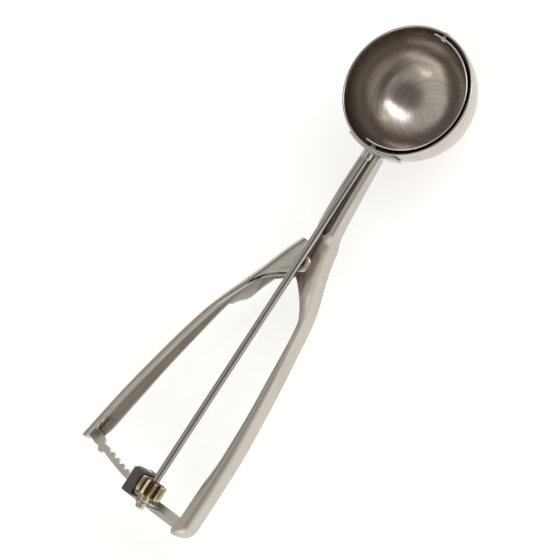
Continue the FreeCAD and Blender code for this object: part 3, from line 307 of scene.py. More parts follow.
class Effects:
    """Shader node groups that more than one finish uses, each built once."""

    def __init__(self) -> None:
        """Build the groups."""
        self.grain = self.grain_group()
        self.handling = self.handling_group()
        # Painted shade that darkens the gears' grooves towards their axis.
        self.groove_shade = self.groove_shade_group()
        self.tarnish = self.tarnish_group()

    def grain_group(self) -> bpy.types.NodeTree:
        """Fine lines left by brushing or drawing, along one way.

        Returns:
            The group: Tone from 0 to 1, and Height for a bump.
        """
        tree = new_tree("brushed_grain", "ShaderNodeTree",
                        [("Vector", "NodeSocketVector"), ("Stretch", "NodeSocketVector"),
                         ("Contrast", "NodeSocketFloat")],
                        [("Tone", "NodeSocketFloat"), ("Height", "NodeSocketFloat")])
        work = Wiring(tree)
        takes, gives = work.add("NodeGroupInput"), work.add("NodeGroupOutput")
        drawn = work.add("ShaderNodeVectorMath", operation="MULTIPLY")
        work.link(takes.outputs["Vector"], drawn.inputs[0])
        work.link(takes.outputs["Stretch"], drawn.inputs[1])
        fine = work.noise(drawn.outputs[0], 1.0, 4.0, 0.6)
        broad = work.noise(drawn.outputs[0], 0.23, 2.0, 0.5)
        both = work.math("ADD", work.math("MULTIPLY", fine, 0.6), work.math("MULTIPLY", broad, 0.4))
        centred = work.math("MULTIPLY", work.math("SUBTRACT", both, 0.5), takes.outputs["Contrast"])
        work.link(work.math("ADD", centred, 0.5, clamp=True), gives.inputs["Tone"])
        work.link(fine, gives.inputs["Height"])
        return tree

    def handling_group(self) -> bpy.types.NodeTree:
        """Smudges, dull patches and short scratches from use.

        Returns:
            The group: Smudge and Scratch, both from 0 to 1.
        """
        tree = new_tree("handling_marks", "ShaderNodeTree",
                        [("Vector", "NodeSocketVector"), ("Scale", "NodeSocketFloat"),
                         ("Amount", "NodeSocketFloat")],
                        [("Smudge", "NodeSocketFloat"), ("Scratch", "NodeSocketFloat")])
        work = Wiring(tree)
        takes, gives = work.add("NodeGroupInput"), work.add("NodeGroupOutput")
        vector, scale = takes.outputs["Vector"], takes.outputs["Scale"]
        cloud = work.spread(work.noise(vector, scale, 4.0, 0.6), 0.42, 0.7)
        work.link(work.math("MULTIPLY", cloud, takes.outputs["Amount"]), gives.inputs["Smudge"])
        drawn = work.add("ShaderNodeVectorMath", operation="MULTIPLY")
        work.link(vector, drawn.inputs[0])
        drawn.inputs[1].default_value = (1.0, 9.0, 5.0)
        line = work.spread(work.noise(drawn.outputs[0], work.math("MULTIPLY", scale, 3.5), 2.0), 0.66, 0.72)
        work.link(work.math("MULTIPLY", line, takes.outputs["Amount"]), gives.inputs["Scratch"])
        return tree

    def groove_shade_group(self) -> bpy.types.NodeTree:
        """Painted shade that darkens towards an axis along X, as in the grooves of a gear.

        Returns:
            The group: painted shade, 1 at the inner radius and 0 at the outer one.
        """
        tree = new_tree("groove_painted_shade", "ShaderNodeTree",
                        [("Vector", "NodeSocketVector"), ("Centre", "NodeSocketVector"),
                         ("Inner", "NodeSocketFloat"), ("Outer", "NodeSocketFloat"),
                         ("Start", "NodeSocketFloat")],
                        [("Shade", "NodeSocketFloat")])
        work = Wiring(tree)
        takes, gives = work.add("NodeGroupInput"), work.add("NodeGroupOutput")
        away = work.add("ShaderNodeVectorMath", operation="SUBTRACT")
        work.link(takes.outputs["Vector"], away.inputs[0])
        work.link(takes.outputs["Centre"], away.inputs[1])
        across = work.add("ShaderNodeVectorMath", operation="MULTIPLY")
        work.link(away.outputs[0], across.inputs[0])
        across.inputs[1].default_value = (0.0, 1.0, 1.0)
        radius = work.add("ShaderNodeVectorMath", operation="LENGTH")
        work.link(across.outputs[0], radius.inputs[0])
        uneven = work.noise(takes.outputs["Vector"], 900.0, 3.0)
        ragged = work.math("ADD", radius.outputs["Value"],
                           work.math("MULTIPLY", work.math("SUBTRACT", uneven, 0.5), 0.0012))
        span = work.math("SUBTRACT", takes.outputs["Outer"], takes.outputs["Inner"])
        share = work.math("DIVIDE", work.math("SUBTRACT", takes.outputs["Outer"], ragged), span, clamp=True)
        along = work.add("ShaderNodeSeparateXYZ")
        work.link(takes.outputs["Vector"], along.inputs[0])
        # The painted groove shade is full on the teeth and weak on the hub behind them.
        toothed = work.math("GREATER_THAN", along.outputs["X"], takes.outputs["Start"])
        lightly = work.math("ADD", work.math("MULTIPLY", toothed, 0.85), 0.15)
        work.link(work.math("MULTIPLY", share, lightly), gives.inputs["Shade"])
        return tree


    def tarnish_group(self) -> bpy.types.NodeTree:
        """An uneven stain round a point, drawn out along each axis.

        Returns:
            The group: Stain, 1 in the middle and 0 past its reach.
        """
        tree = new_tree("tarnish_patch", "ShaderNodeTree",
                        [("Vector", "NodeSocketVector"), ("Centre", "NodeSocketVector"),
                         ("Reach", "NodeSocketVector"), ("Turn", "NodeSocketFloat")],
                        [("Stain", "NodeSocketFloat")])
        work = Wiring(tree)
        takes, gives = work.add("NodeGroupInput"), work.add("NodeGroupOutput")
        turned = work.add("ShaderNodeVectorRotate", rotation_type="Z_AXIS")
        work.link(takes.outputs["Vector"], turned.inputs["Vector"])
        work.link(takes.outputs["Centre"], turned.inputs["Center"])
        work.link(takes.outputs["Turn"], turned.inputs["Angle"])
        away = work.add("ShaderNodeVectorMath", operation="SUBTRACT")
        work.link(turned.outputs[0], away.inputs[0])
        work.link(takes.outputs["Centre"], away.inputs[1])
        scaled = work.add("ShaderNodeVectorMath", operation="DIVIDE")
        work.link(away.outputs[0], scaled.inputs[0])
        work.link(takes.outputs["Reach"], scaled.inputs[1])
        far = work.add("ShaderNodeVectorMath", operation="LENGTH")
        work.link(scaled.outputs[0], far.inputs[0])
        cloud = work.noise(takes.outputs["Vector"], 220.0, 4.0)
        uneven = work.math("MULTIPLY", work.math("SUBTRACT", cloud, 0.5), 0.5)
        edge = work.math("ADD", far.outputs["Value"], uneven)
        work.link(work.spread(edge, 1.1, 0.6), gives.inputs["Stain"])
        return tree


EFFECTS = Effects()
Colour = tuple[float, float, float]


@dataclass(frozen=True)
class SteelFinish:
    """Stainless steel with grain, smudges and scratches."""

    name: str
    light: Colour = (0.62, 0.60, 0.57)
    dark: Colour = (0.42, 0.40, 0.37)
    smooth: float = 0.22
    dull: float = 0.38
    stretch: Point = (60.0, 1500.0, 1500.0)
    contrast: float = 1.2
    smudges: float = 0.6
    smudge_scale: float = 90.0
    bump: float = 0.06

    def material(self) -> bpy.types.Material:
        """The finish as a material.

        Returns:
            The material, made once for each name.
        """
        made = bpy.data.materials.get(self.name)
        if made:
            return made
        made = bpy.data.materials.new(self.name)
        made.use_nodes = True
        work = Wiring(made.node_tree)
        shader = made.node_tree.nodes["Principled BSDF"]
        shader.inputs["Metallic"].default_value = 1.0
        place = work.add("ShaderNodeTexCoord").outputs["Object"]
        grain = work.add("ShaderNodeGroup", node_tree=EFFECTS.grain)
        marks = work.add("ShaderNodeGroup", node_tree=EFFECTS.handling)
        work.link(place, grain.inputs["Vector"])
        work.link(place, marks.inputs["Vector"])
        grain.inputs["Stretch"].default_value = self.stretch
        grain.inputs["Contrast"].default_value = self.contrast
        marks.inputs["Scale"].default_value = self.smudge_scale
        marks.inputs["Amount"].default_value = self.smudges
        tone = self.tone(work, place, grain.outputs["Tone"], marks.outputs["Smudge"])
        colour = work.add("ShaderNodeMix", data_type="RGBA")
        work.link(tone, colour.inputs["Factor"])
        colour.inputs["A"].default_value = (*self.light, 1.0)
        colour.inputs["B"].default_value = (*self.dark, 1.0)
        work.link(colour.outputs["Result"], shader.inputs["Base Color"])
        worn = work.math("ADD", work.math("MULTIPLY", marks.outputs["Smudge"], 0.7),
                         work.math("MULTIPLY", grain.outputs["Tone"], 0.3), clamp=True)
        work.link(work.spread(worn, 0.0, 1.0, self.smooth, self.dull), shader.inputs["Roughness"])
        bump = work.add("ShaderNodeBump")
        bump.inputs["Strength"].default_value = self.bump
        bump.inputs["Distance"].default_value = 0.0002
        scored = work.math("SUBTRACT", grain.outputs["Height"],
                           work.math("MULTIPLY", marks.outputs["Scratch"], 0.6))
        work.link(scored, bump.inputs["Height"])
        work.link(bump.outputs["Normal"], shader.inputs["Normal"])
        return made

    def tone(self, work: Wiring, place: bpy.types.NodeSocket, grain: bpy.types.NodeSocket,
             smudge: bpy.types.NodeSocket) -> bpy.types.NodeSocket:
        """How far the colour goes from light to dark.

        Args:
            work: Wiring of the material.
            place: Object coordinates.
            grain: Tone of the grain.
            smudge: The smudges.

        Returns:
            The share of the dark colour.
        """
        return work.math("ADD", work.math("MULTIPLY", grain, 0.6), work.math("MULTIPLY", smudge, 0.5),
                         clamp=True)


@dataclass(frozen=True)
class SpunFinish(SteelFinish):
    """Steel spun round an upright axis: rings instead of straight grain."""

    rings: float = 900.0
    ring_share: float = 0.5

    def tone(self, work: Wiring, place: bpy.types.NodeSocket, grain: bpy.types.NodeSocket,
             smudge: bpy.types.NodeSocket) -> bpy.types.NodeSocket:
        """Add rings round the upright axis to the plain tone.

        Args:
            work: Wiring of the material.
            place: Object coordinates.
            grain: Tone of the grain.
            smudge: The smudges.

        Returns:
            The share of the dark colour.
        """
        flat = work.add("ShaderNodeVectorMath", operation="MULTIPLY")
        work.link(place, flat.inputs[0])
        flat.inputs[1].default_value = (1.0, 1.0, 0.0)
        radius = work.add("ShaderNodeVectorMath", operation="LENGTH")
        work.link(flat.outputs[0], radius.inputs[0])
        line = work.add("ShaderNodeCombineXYZ")
        work.link(radius.outputs["Value"], line.inputs[0])
        ring = work.noise(line.outputs[0], self.rings, 5.0, 0.7)
        ringed = work.math("MULTIPLY", work.spread(ring, 0.35, 0.65), self.ring_share)
        rest = work.math("MULTIPLY", smudge, 0.5)
        coarse = work.math("ADD", ringed, rest)
        return work.math("ADD", coarse, work.math("MULTIPLY", grain, 0.2), clamp=True)


@dataclass(frozen=True)
class StainedFinish(SteelFinish):
    """Steel with brownish tarnish in one drawn-out patch."""

    centre: Point = (-78.0, -2.5, -6.0)
    reach: Point = (17.0, 4.5, 3.2)
    turn: float = -8.0
    stained: float = 0.85

    def tone(self, work: Wiring, place: bpy.types.NodeSocket, grain: bpy.types.NodeSocket,
             smudge: bpy.types.NodeSocket) -> bpy.types.NodeSocket:
        """Add the tarnish to the plain tone.

        Args:
            work: Wiring of the material.
            place: Object coordinates.
            grain: Tone of the grain.
            smudge: The smudges.

        Returns:
            The share of the dark colour.
        """
        patch = work.add("ShaderNodeGroup", node_tree=EFFECTS.tarnish)
        work.link(place, patch.inputs["Vector"])
        patch.inputs["Centre"].default_value = [part * MM for part in self.centre]
        patch.inputs["Reach"].default_value = [part * MM for part in self.reach]
        patch.inputs["Turn"].default_value = math.radians(self.turn)
        plain = work.math("ADD", work.math("MULTIPLY", grain, 0.35), work.math("MULTIPLY", smudge, 0.25))
        stain = work.math("MULTIPLY", patch.outputs["Stain"], self.stained)
        return work.math("ADD", plain, stain, clamp=True)


@dataclass(frozen=True)
class BrassFinish:
    """Machined brass with smudges, and brown painted shade in its grooves."""

    name: str
    centre: Point
    light: Colour = (0.80, 0.70, 0.50)
    # dark is the colour of the painted shade in the grooves.
    dark: Colour = (0.13, 0.07, 0.03)
    smooth: float = 0.24
    dull: float = 0.55
    inner: float = 3.6
    outer: float = 5.1
    start: float = -181.6

    def material(self) -> bpy.types.Material:
        """The finish as a material.

        Returns:
            The material.
        """
        made = bpy.data.materials.new(self.name)
        made.use_nodes = True
        work = Wiring(made.node_tree)
        shader = made.node_tree.nodes["Principled BSDF"]
        shader.inputs["Metallic"].default_value = 1.0
        place = work.add("ShaderNodeTexCoord").outputs["Object"]
        groove_shade = work.add("ShaderNodeGroup", node_tree=EFFECTS.groove_shade)
        marks = work.add("ShaderNodeGroup", node_tree=EFFECTS.handling)
        work.link(place, groove_shade.inputs["Vector"])
        work.link(place, marks.inputs["Vector"])
        groove_shade.inputs["Centre"].default_value = [part * MM for part in self.centre]
        groove_shade.inputs["Inner"].default_value = self.inner * MM
        groove_shade.inputs["Outer"].default_value = self.outer * MM
        groove_shade.inputs["Start"].default_value = self.start * MM
        marks.inputs["Scale"].default_value = 350.0
        marks.inputs["Amount"].default_value = 0.5
        # The darker share is the larger of the painted groove shade and half the smudges; it also dulls the
        # roughness.
        smudge_and_shade = work.math("MAXIMUM", groove_shade.outputs["Shade"],
                          work.math("MULTIPLY", marks.outputs["Smudge"], 0.5))
        colour = work.add("ShaderNodeMix", data_type="RGBA")
        work.link(smudge_and_shade, colour.inputs["Factor"])
        colour.inputs["A"].default_value = (*self.light, 1.0)
        colour.inputs["B"].default_value = (*self.dark, 1.0)
        work.link(colour.outputs["Result"], shader.inputs["Base Color"])
        work.link(work.spread(smudge_and_shade, 0.0, 1.0, self.smooth, self.dull), shader.inputs["Roughness"])
        bump = work.add("ShaderNodeBump")
        bump.inputs["Strength"].default_value = 0.1
        bump.inputs["Distance"].default_value = 0.0002
        work.link(work.math("SUBTRACT", 1.0, marks.outputs["Scratch"]), bump.inputs["Height"])
        work.link(bump.outputs["Normal"], shader.inputs["Normal"])
        return made


BOWL_STEEL = SpunFinish("spun_bowl_steel", (0.64, 0.60, 0.55), (0.40, 0.35, 0.325), 0.18, 0.32,
                        (150.0, 150.0, 150.0), 0.5, 0.7, 60.0, 0.015)
ARM_STEEL = StainedFinish("satin_arm_steel", (0.64, 0.62, 0.57), (0.30, 0.235, 0.21), 0.42, 0.56,
                          (40.0, 700.0, 700.0), 0.8, 0.5, 60.0, 0.03)
SADDLE_STEEL = SteelFinish("satin_saddle_steel", (0.66, 0.64, 0.60), (0.46, 0.44, 0.41), 0.26, 0.38,
                           (150.0, 150.0, 900.0), 0.8, 0.5, 90.0, 0.03)
LEVER_STEEL = SteelFinish("satin_lever_steel", (0.67, 0.65, 0.61), (0.46, 0.43, 0.39), 0.32, 0.46,
                          (60.0, 400.0, 700.0), 0.8, 0.5, 60.0, 0.03)
BAR_STEEL = SteelFinish("flat_bar_steel", (0.70, 0.69, 0.65), (0.52, 0.50, 0.47), 0.28, 0.42,
                        (1500.0, 80.0, 1500.0))
RACK_STEEL = SteelFinish("flat_rack_steel", (0.64, 0.61, 0.56), (0.46, 0.43, 0.39), 0.3, 0.45,
                         (700.0, 700.0, 700.0), 0.9)
ROD_STEEL = SteelFinish("drawn_rod_steel", (0.58, 0.56, 0.53), (0.36, 0.34, 0.32), 0.12, 0.24,
                        (30.0, 1500.0, 1500.0), 1.2, 0.4)
BRIGHT_STEEL = SteelFinish("polished_pin_steel", (0.68, 0.66, 0.63), (0.46, 0.44, 0.42), 0.16, 0.32,
                           (500.0, 500.0, 500.0), 0.8, 0.5, 300.0)
BLADE_STEEL = SteelFinish("rolled_blade_steel", (0.78, 0.77, 0.75), (0.58, 0.56, 0.54), 0.14, 0.28,
                          (200.0, 200.0, 1500.0), 0.8, 0.4)
CAGE_STEEL = SteelFinish("dull_cage_steel", (0.17, 0.165, 0.175), (0.09, 0.085, 0.09), 0.46, 0.6,
                         (500.0, 700.0, 500.0), 1.2, 0.6, 250.0)
SPRING_STEEL = SteelFinish("hard_spring_wire", (0.46, 0.45, 0.43), (0.24, 0.23, 0.22), 0.2, 0.36,
                           (600.0, 600.0, 600.0), 1.0, 0.5, 300.0)


# Geometry Nodes trees


class Trees:
    """Geometry Nodes trees for what repeats or follows a path, each built once."""

    def __init__(self) -> None:
        """Build the trees."""
        self.copies = self.copies_tree()
        self.heads = self.heads_tree()
        self.wire = self.wire_tree()

    def ending(self, work: Wiring, shape: bpy.types.NodeSocket, finish: bpy.types.NodeSocket) -> None:
        """End a tree: real copies, then the material.

        Args:
            work: Wiring of the tree.
            shape: The geometry so far.
            finish: The material input.
        """
        real = work.add("GeometryNodeRealizeInstances")
        merged = work.add("GeometryNodeMergeByDistance")
        merged.inputs["Distance"].default_value = 0.000002
        dressed = work.add("GeometryNodeSetMaterial")
        gives = work.add("NodeGroupOutput")
        work.link(shape, real.inputs["Geometry"])
        work.link(real.outputs["Geometry"], merged.inputs["Geometry"])
        work.link(merged.outputs["Geometry"], dressed.inputs["Geometry"])
        work.link(finish, dressed.inputs["Material"])
        work.link(dressed.outputs["Geometry"], gives.inputs["Geometry"])

    def copies_tree(self) -> bpy.types.NodeTree:
        """Copies of one shape, each turned a step further about a centre.

        Returns:
            The tree.
        """
        tree = new_tree("turned_copies", "GeometryNodeTree",
                        [("Geometry", "NodeSocketGeometry"), ("Count", "NodeSocketInt"),
                         ("Step", "NodeSocketVector"), ("Centre", "NodeSocketVector"),
                         ("Finish", "NodeSocketMaterial")],
                        [("Geometry", "NodeSocketGeometry")])
        work = Wiring(tree)
        takes = work.add("NodeGroupInput")
        points = work.add("GeometryNodePoints")
        work.link(takes.outputs["Count"], points.inputs["Count"])
        work.link(takes.outputs["Centre"], points.inputs["Position"])
        turn = work.add("ShaderNodeVectorMath", operation="SCALE")
        work.link(takes.outputs["Step"], turn.inputs[0])
        work.link(work.add("GeometryNodeInputIndex").outputs[0], turn.inputs["Scale"])
        rotation = work.add("FunctionNodeEulerToRotation")
        work.link(turn.outputs[0], rotation.inputs[0])
        placed = work.add("GeometryNodeInstanceOnPoints")
        work.link(points.outputs[0], placed.inputs["Points"])
        work.link(takes.outputs["Geometry"], placed.inputs["Instance"])
        work.link(rotation.outputs[0], placed.inputs["Rotation"])
        self.ending(work, placed.outputs["Instances"], takes.outputs["Finish"])
        return tree

    def heads_tree(self) -> bpy.types.NodeTree:
        """Domed rivet heads on points, each facing the point's own way.

        Returns:
            The tree.
        """
        tree = new_tree("rivet_heads", "GeometryNodeTree",
                        [("Geometry", "NodeSocketGeometry"), ("Radius", "NodeSocketFloat"),
                         ("Height", "NodeSocketFloat"), ("Finish", "NodeSocketMaterial")],
                        [("Geometry", "NodeSocketGeometry")])
        work = Wiring(tree)
        takes = work.add("NodeGroupInput")
        ball = work.add("GeometryNodeMeshUVSphere")
        ball.inputs["Segments"].default_value = 28
        ball.inputs["Rings"].default_value = 14
        ball.inputs["Radius"].default_value = 1.0
        size = work.add("ShaderNodeCombineXYZ")
        for place, name in enumerate(("Radius", "Radius", "Height")):
            work.link(takes.outputs[name], size.inputs[place])
        dome = work.add("GeometryNodeTransform")
        work.link(ball.outputs["Mesh"], dome.inputs["Geometry"])
        work.link(size.outputs[0], dome.inputs["Scale"])
        way = work.add("GeometryNodeInputNamedAttribute", data_type="FLOAT_VECTOR")
        way.inputs["Name"].default_value = "way"
        facing = work.add("FunctionNodeAlignRotationToVector", axis="Z")
        work.link(way.outputs["Attribute"], facing.inputs["Vector"])
        placed = work.add("GeometryNodeInstanceOnPoints")
        work.link(takes.outputs["Geometry"], placed.inputs["Points"])
        work.link(dome.outputs["Geometry"], placed.inputs["Instance"])
        work.link(facing.outputs[0], placed.inputs["Rotation"])
        self.ending(work, placed.outputs["Instances"], takes.outputs["Finish"])
        return tree

    def wire_tree(self) -> bpy.types.NodeTree:
        """A round wire along a line of edges.

        Returns:
            The tree.
        """
        tree = new_tree("round_wire", "GeometryNodeTree",
                        [("Geometry", "NodeSocketGeometry"), ("Radius", "NodeSocketFloat"),
                         ("Finish", "NodeSocketMaterial")],
                        [("Geometry", "NodeSocketGeometry")])
        work = Wiring(tree)
        takes = work.add("NodeGroupInput")
        line = work.add("GeometryNodeMeshToCurve")
        work.link(takes.outputs["Geometry"], line.inputs["Mesh"])
        ring = work.add("GeometryNodeCurvePrimitiveCircle")
        ring.inputs["Resolution"].default_value = 14
        work.link(takes.outputs["Radius"], ring.inputs["Radius"])
        tube = work.add("GeometryNodeCurveToMesh")
        tube.inputs["Fill Caps"].default_value = True
        work.link(line.outputs["Curve"], tube.inputs["Curve"])
        work.link(ring.outputs["Curve"], tube.inputs["Profile Curve"])
        self.ending(work, tube.outputs["Mesh"], takes.outputs["Finish"])
        return tree

    def grown(self, seed: bpy.types.Object, tree: bpy.types.NodeTree,
              **values: object) -> bpy.types.Object:
        """Run a tree on an object and keep the result as a plain mesh.

        Args:
            seed: The object whose mesh goes in; it is used up.
            tree: The tree.
            values: Its inputs by name.

        Returns:
            A new object with the plain mesh.
        """
        modifier = seed.modifiers.new(tree.name, "NODES")
        modifier.node_group = tree
        sockets = {item.name: item.identifier for item in tree.interface.items_tree
                   if item.item_type == "SOCKET" and item.in_out == "INPUT"}
        for name, value in values.items():
            modifier[sockets[name]] = value
        graph = bpy.context.evaluated_depsgraph_get()
        mesh = bpy.data.meshes.new_from_object(seed.evaluated_get(graph))
        name = seed.name
        old = seed.data
        bpy.data.objects.remove(seed)
        bpy.data.meshes.remove(old)
        mesh.name = name
        made = bpy.data.objects.new(name, mesh)
        bpy.context.scene.collection.objects.link(made)
        return made


TREES = Trees()


# Shapes


@dataclass(frozen=True)
class Corner:
    """A corner of a flat outline, with its bend radius."""

    across: float
    up: float
    radius: float = 0.0


def rounded(corners: Sequence[Corner], steps: int = 4) -> list[Flat]:
    """A closed outline whose corners are arcs.

    Args:
        corners: Its corners in order.
        steps: Steps of each arc.

    Returns:
        The points, as many for each corner.
    """
    loop: list[Flat] = []
    count = len(corners)
    for i, corner in enumerate(corners):
        here = Vector((corner.across, corner.up))
        last, following = corners[i - 1], corners[(i + 1) % count]
        back = (Vector((last.across, last.up)) - here).normalized()
        ahead = (Vector((following.across, following.up)) - here).normalized()
        both = back + ahead
        if both.length < 1e-5:
            loop += [tuple(here)] * (steps + 1)
            continue
        half = math.acos(max(-1.0, min(1.0, back.dot(ahead)))) / 2
        radius = max(corner.radius, EDGE_SOFT)
        centre = both.normalized() * (radius / math.sin(half))
        reach = radius / math.tan(half)
        start, end = back * reach - centre, ahead * reach - centre
        for step in range(steps + 1):
            share = step / steps
            loop.append(tuple(here + centre + (start * (1 - share) + end * share).normalized() * radius))
    return loop


class FairLine:
    """A smooth line through stations that never overshoots them."""

    def __init__(self, places: Sequence[float], values: Sequence[float]) -> None:
        """Fit the line.

        Args:
            places: Rising places.
            values: The value at each place.
        """
        self.places, self.values = list(places), list(values)
        count = len(self.places)
        rises = [(self.values[i + 1] - self.values[i]) / (self.places[i + 1] - self.places[i])
                 for i in range(count - 1)]
        self.slopes = [rises[0]]
        for before, after in zip(rises, rises[1:]):
            same = before * after > 0
            self.slopes.append(2 * before * after / (before + after) if same else 0.0)
        self.slopes.append(rises[-1])

    def at(self, place: float) -> float:
        """The value at a place."""
        i = max(0, min(len(self.places) - 2, bisect_right(self.places, place) - 1))
        span = self.places[i + 1] - self.places[i]
        share = (place - self.places[i]) / span
        a, b = self.values[i], self.values[i + 1]
        slope_a, slope_b = self.slopes[i] * span, self.slopes[i + 1] * span
        return (a * (2 * share ** 3 - 3 * share ** 2 + 1) + slope_a * (share ** 3 - 2 * share ** 2 + share)
                + b * (3 * share ** 2 - 2 * share ** 3) + slope_b * (share ** 3 - share ** 2))


class Workpiece:
    """A mesh in the making, in millimetres."""

    def __init__(self, name: str) -> None:
        """Start an empty mesh.

        Args:
            name: Name of the finished object.
        """
        self.name = name
        self.mesh = bmesh.new()

    def skin(self, rows: Sequence[Sequence[Point]], round_rows: bool = True, round_all: bool = False,
             capped: bool = True) -> "Workpiece":
        """Lay faces from each row of points to the next.

        Args:
            rows: Rows of as many points each.
            round_rows: Whether each row is a closed loop.
            round_all: Whether the last row joins the first.
            capped: Whether the first and last rows are filled.

        Returns:
            The workpiece.
        """
        made = [[self.mesh.verts.new(Vector(spot) * MM) for spot in row] for row in rows]
        count = len(made[0])
        pairs = list(zip(made, made[1:])) + ([(made[-1], made[0])] if round_all else [])
        for low, high in pairs:
            for i in range(count if round_rows else count - 1):
                j = (i + 1) % count
                self.mesh.faces.new((low[i], low[j], high[j], high[i]))
        if capped and not round_all:
            self.mesh.faces.new(list(reversed(made[0])))
            self.mesh.faces.new(made[-1])
        return self

    def turned(self, profile: Sequence[Flat], base: Point, upright: bool = False, steps: int = 64,
               closed: bool = False) -> "Workpiece":
        """Turn a profile about an axis.

        Args:
            profile: Points as (along the axis, radius).
            base: A point on the axis.
            upright: Whether the axis is Z, and not X.
            steps: Steps round the axis.
            closed: Whether the profile is a closed loop, as of a ring.

        Returns:
            The workpiece.
        """
        rows = []
        for step in range(steps):
            turn = math.tau * step / steps
            side, up = math.cos(turn), math.sin(turn)
            if upright:
                rows.append([(base[0] + r * side, base[1] + r * up, base[2] + a) for a, r in profile])
            else:
                rows.append([(base[0] + a, base[1] + r * side, base[2] + r * up) for a, r in profile])
        return self.skin(rows, round_rows=closed, round_all=True, capped=False)

    def plate(self, outline: Sequence[Flat], low: float, height: float, soft: float = EDGE_SOFT,
              base: Point = (0.0, 0.0, 0.0)) -> "Workpiece":
        """A flat plate with softened edges.

        Args:
            outline: Its outline as (x, y) points.
            low: Its lower face.
            height: Its thickness.
            soft: Width of the softened edge.
            base: Where the plate's origin goes.

        Returns:
            The workpiece.
        """
        inner = inset(outline, soft)
        rows = [[(x + base[0], y + base[1], z + base[2]) for x, y in shape]
                for shape, z in ((inner, low), (outline, low + soft), (outline, low + height - soft),
                                 (inner, low + height))]
        return self.skin(rows)

    def done(self, sharp: float = 38.0) -> bpy.types.Object:
        """Close the mesh and make it an object.

        Args:
            sharp: Degrees over which an edge stays sharp.

        Returns:
            The object, at the origin.
        """
        bmesh.ops.remove_doubles(self.mesh, verts=self.mesh.verts, dist=1e-6)
        bmesh.ops.dissolve_degenerate(self.mesh, dist=1e-7, edges=self.mesh.edges)
        bmesh.ops.recalc_face_normals(self.mesh, faces=self.mesh.faces)
        mesh = bpy.data.meshes.new(self.name)
        self.mesh.to_mesh(mesh)
        self.mesh.free()
        made = bpy.data.objects.new(self.name, mesh)
        bpy.context.scene.collection.objects.link(made)
        smooth(made, sharp)
        return made


def smooth(piece: bpy.types.Object, sharp: float = 38.0) -> bpy.types.Object:
    """Shade a piece smooth, apart from its sharp edges.

    Args:
        piece: The piece.
        sharp: Degrees over which an edge stays sharp.

    Returns:
        The piece.
    """
    piece.data.shade_smooth()
    piece.data.set_sharp_from_angle(angle=math.radians(sharp))
    return piece


def inset(outline: Sequence[Flat], depth: float) -> list[Flat]:
    """An outline moved inwards by a small depth.

    Args:
        outline: Points in order, either way round.
        depth: How far.

    Returns:
        As many points.
    """
    count = len(outline)
    area = sum(outline[i - 1][0] * outline[i][1] - outline[i][0] * outline[i - 1][1] for i in range(count))
    side = 1.0 if area > 0 else -1.0
    moved = []
    for i in range(count):
        here = Vector(outline[i])
        back = (here - Vector(outline[i - 1])).normalized()
        ahead = (Vector(outline[(i + 1) % count]) - here).normalized()
        mean = (back + ahead).normalized() if (back + ahead).length > 1e-6 else ahead
        inward = Vector((-mean.y, mean.x)) * side
        lean = max(0.5, Vector((-back.y, back.x)).dot(Vector((-mean.y, mean.x))))
        moved.append(tuple(here + inward * (depth / lean)))
    return moved


def flowing(points: Sequence[Flat], steps: int = 5) -> list[Flat]:
    """A smooth open line through points.

    Args:
        points: The points.
        steps: Steps between one point and the next.

    Returns:
        The line's points, the ends included.
    """
    spots = [Vector(point) for point in points]
    spots = [spots[0] * 2 - spots[1]] + spots + [spots[-1] * 2 - spots[-2]]
    line: list[Flat] = []
    for a, b, c, d in zip(spots, spots[1:], spots[2:], spots[3:]):
        for step in range(steps):
            t = step / steps
            line.append(tuple(0.5 * ((2 * b) + (c - a) * t + (2 * a - 5 * b + 4 * c - d) * t ** 2
                                     + (3 * b - a - 3 * c + d) * t ** 3)))
    line.append(tuple(spots[-2]))
    return line


def cad_copy(name: str, node: str, soft: float = 0.12, sharp: float = 30.0) -> bpy.types.Object:
    """A merged copy of a CAD node with softened edges.

    Args:
        name: Name of the copy.
        node: Name of the node.
        soft: Width of the softened edges.
        sharp: Degrees over which an edge is softened.

    Returns:
        The copy.
    """
    work = bmesh.new()
    work.from_mesh(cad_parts[node].data)
    bmesh.ops.remove_doubles(work, verts=work.verts, dist=2e-6)
    bmesh.ops.dissolve_limit(work, angle_limit=math.radians(1.0), verts=work.verts, edges=work.edges)
    bmesh.ops.recalc_face_normals(work, faces=work.faces)
    edges = [edge for edge in work.edges
             if len(edge.link_faces) == 2 and edge.calc_face_angle() > math.radians(sharp)]
    bmesh.ops.bevel(work, geom=edges, offset=soft * MM, segments=2, profile=0.5, affect="EDGES",
                    clamp_overlap=True)
    mesh = bpy.data.meshes.new(name)
    work.to_mesh(mesh)
    work.free()
    made = bpy.data.objects.new(name, mesh)
    bpy.context.scene.collection.objects.link(made)
    return smooth(made, sharp)


class SubAssembly:
    """What the sub-assemblies share: dressing a piece and giving it its place in the frame."""

    def fit(self, piece: bpy.types.Object, finish: SteelFinish | BrassFinish, slot: Slot, body: Body,
            *nodes: str) -> bpy.types.Object:
        """Dress a piece, let it ride on its body and stand for its nodes.

        Args:
            piece: The piece.
            finish: Its finish.
            slot: The record's slot for its finish; not used.
            body: The body that it rides on.
            nodes: The CAD nodes that it stands for.

        Returns:
            The piece.
        """
        piece.data.materials.clear()
        piece.data.materials.append(finish.material())
        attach(piece, body.value)
        if nodes:
            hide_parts(*nodes)
        LOG.info("%s stands for %s: %d faces", piece.name, ", ".join(nodes) or "no node",
                 len(piece.data.polygons))
        return piece


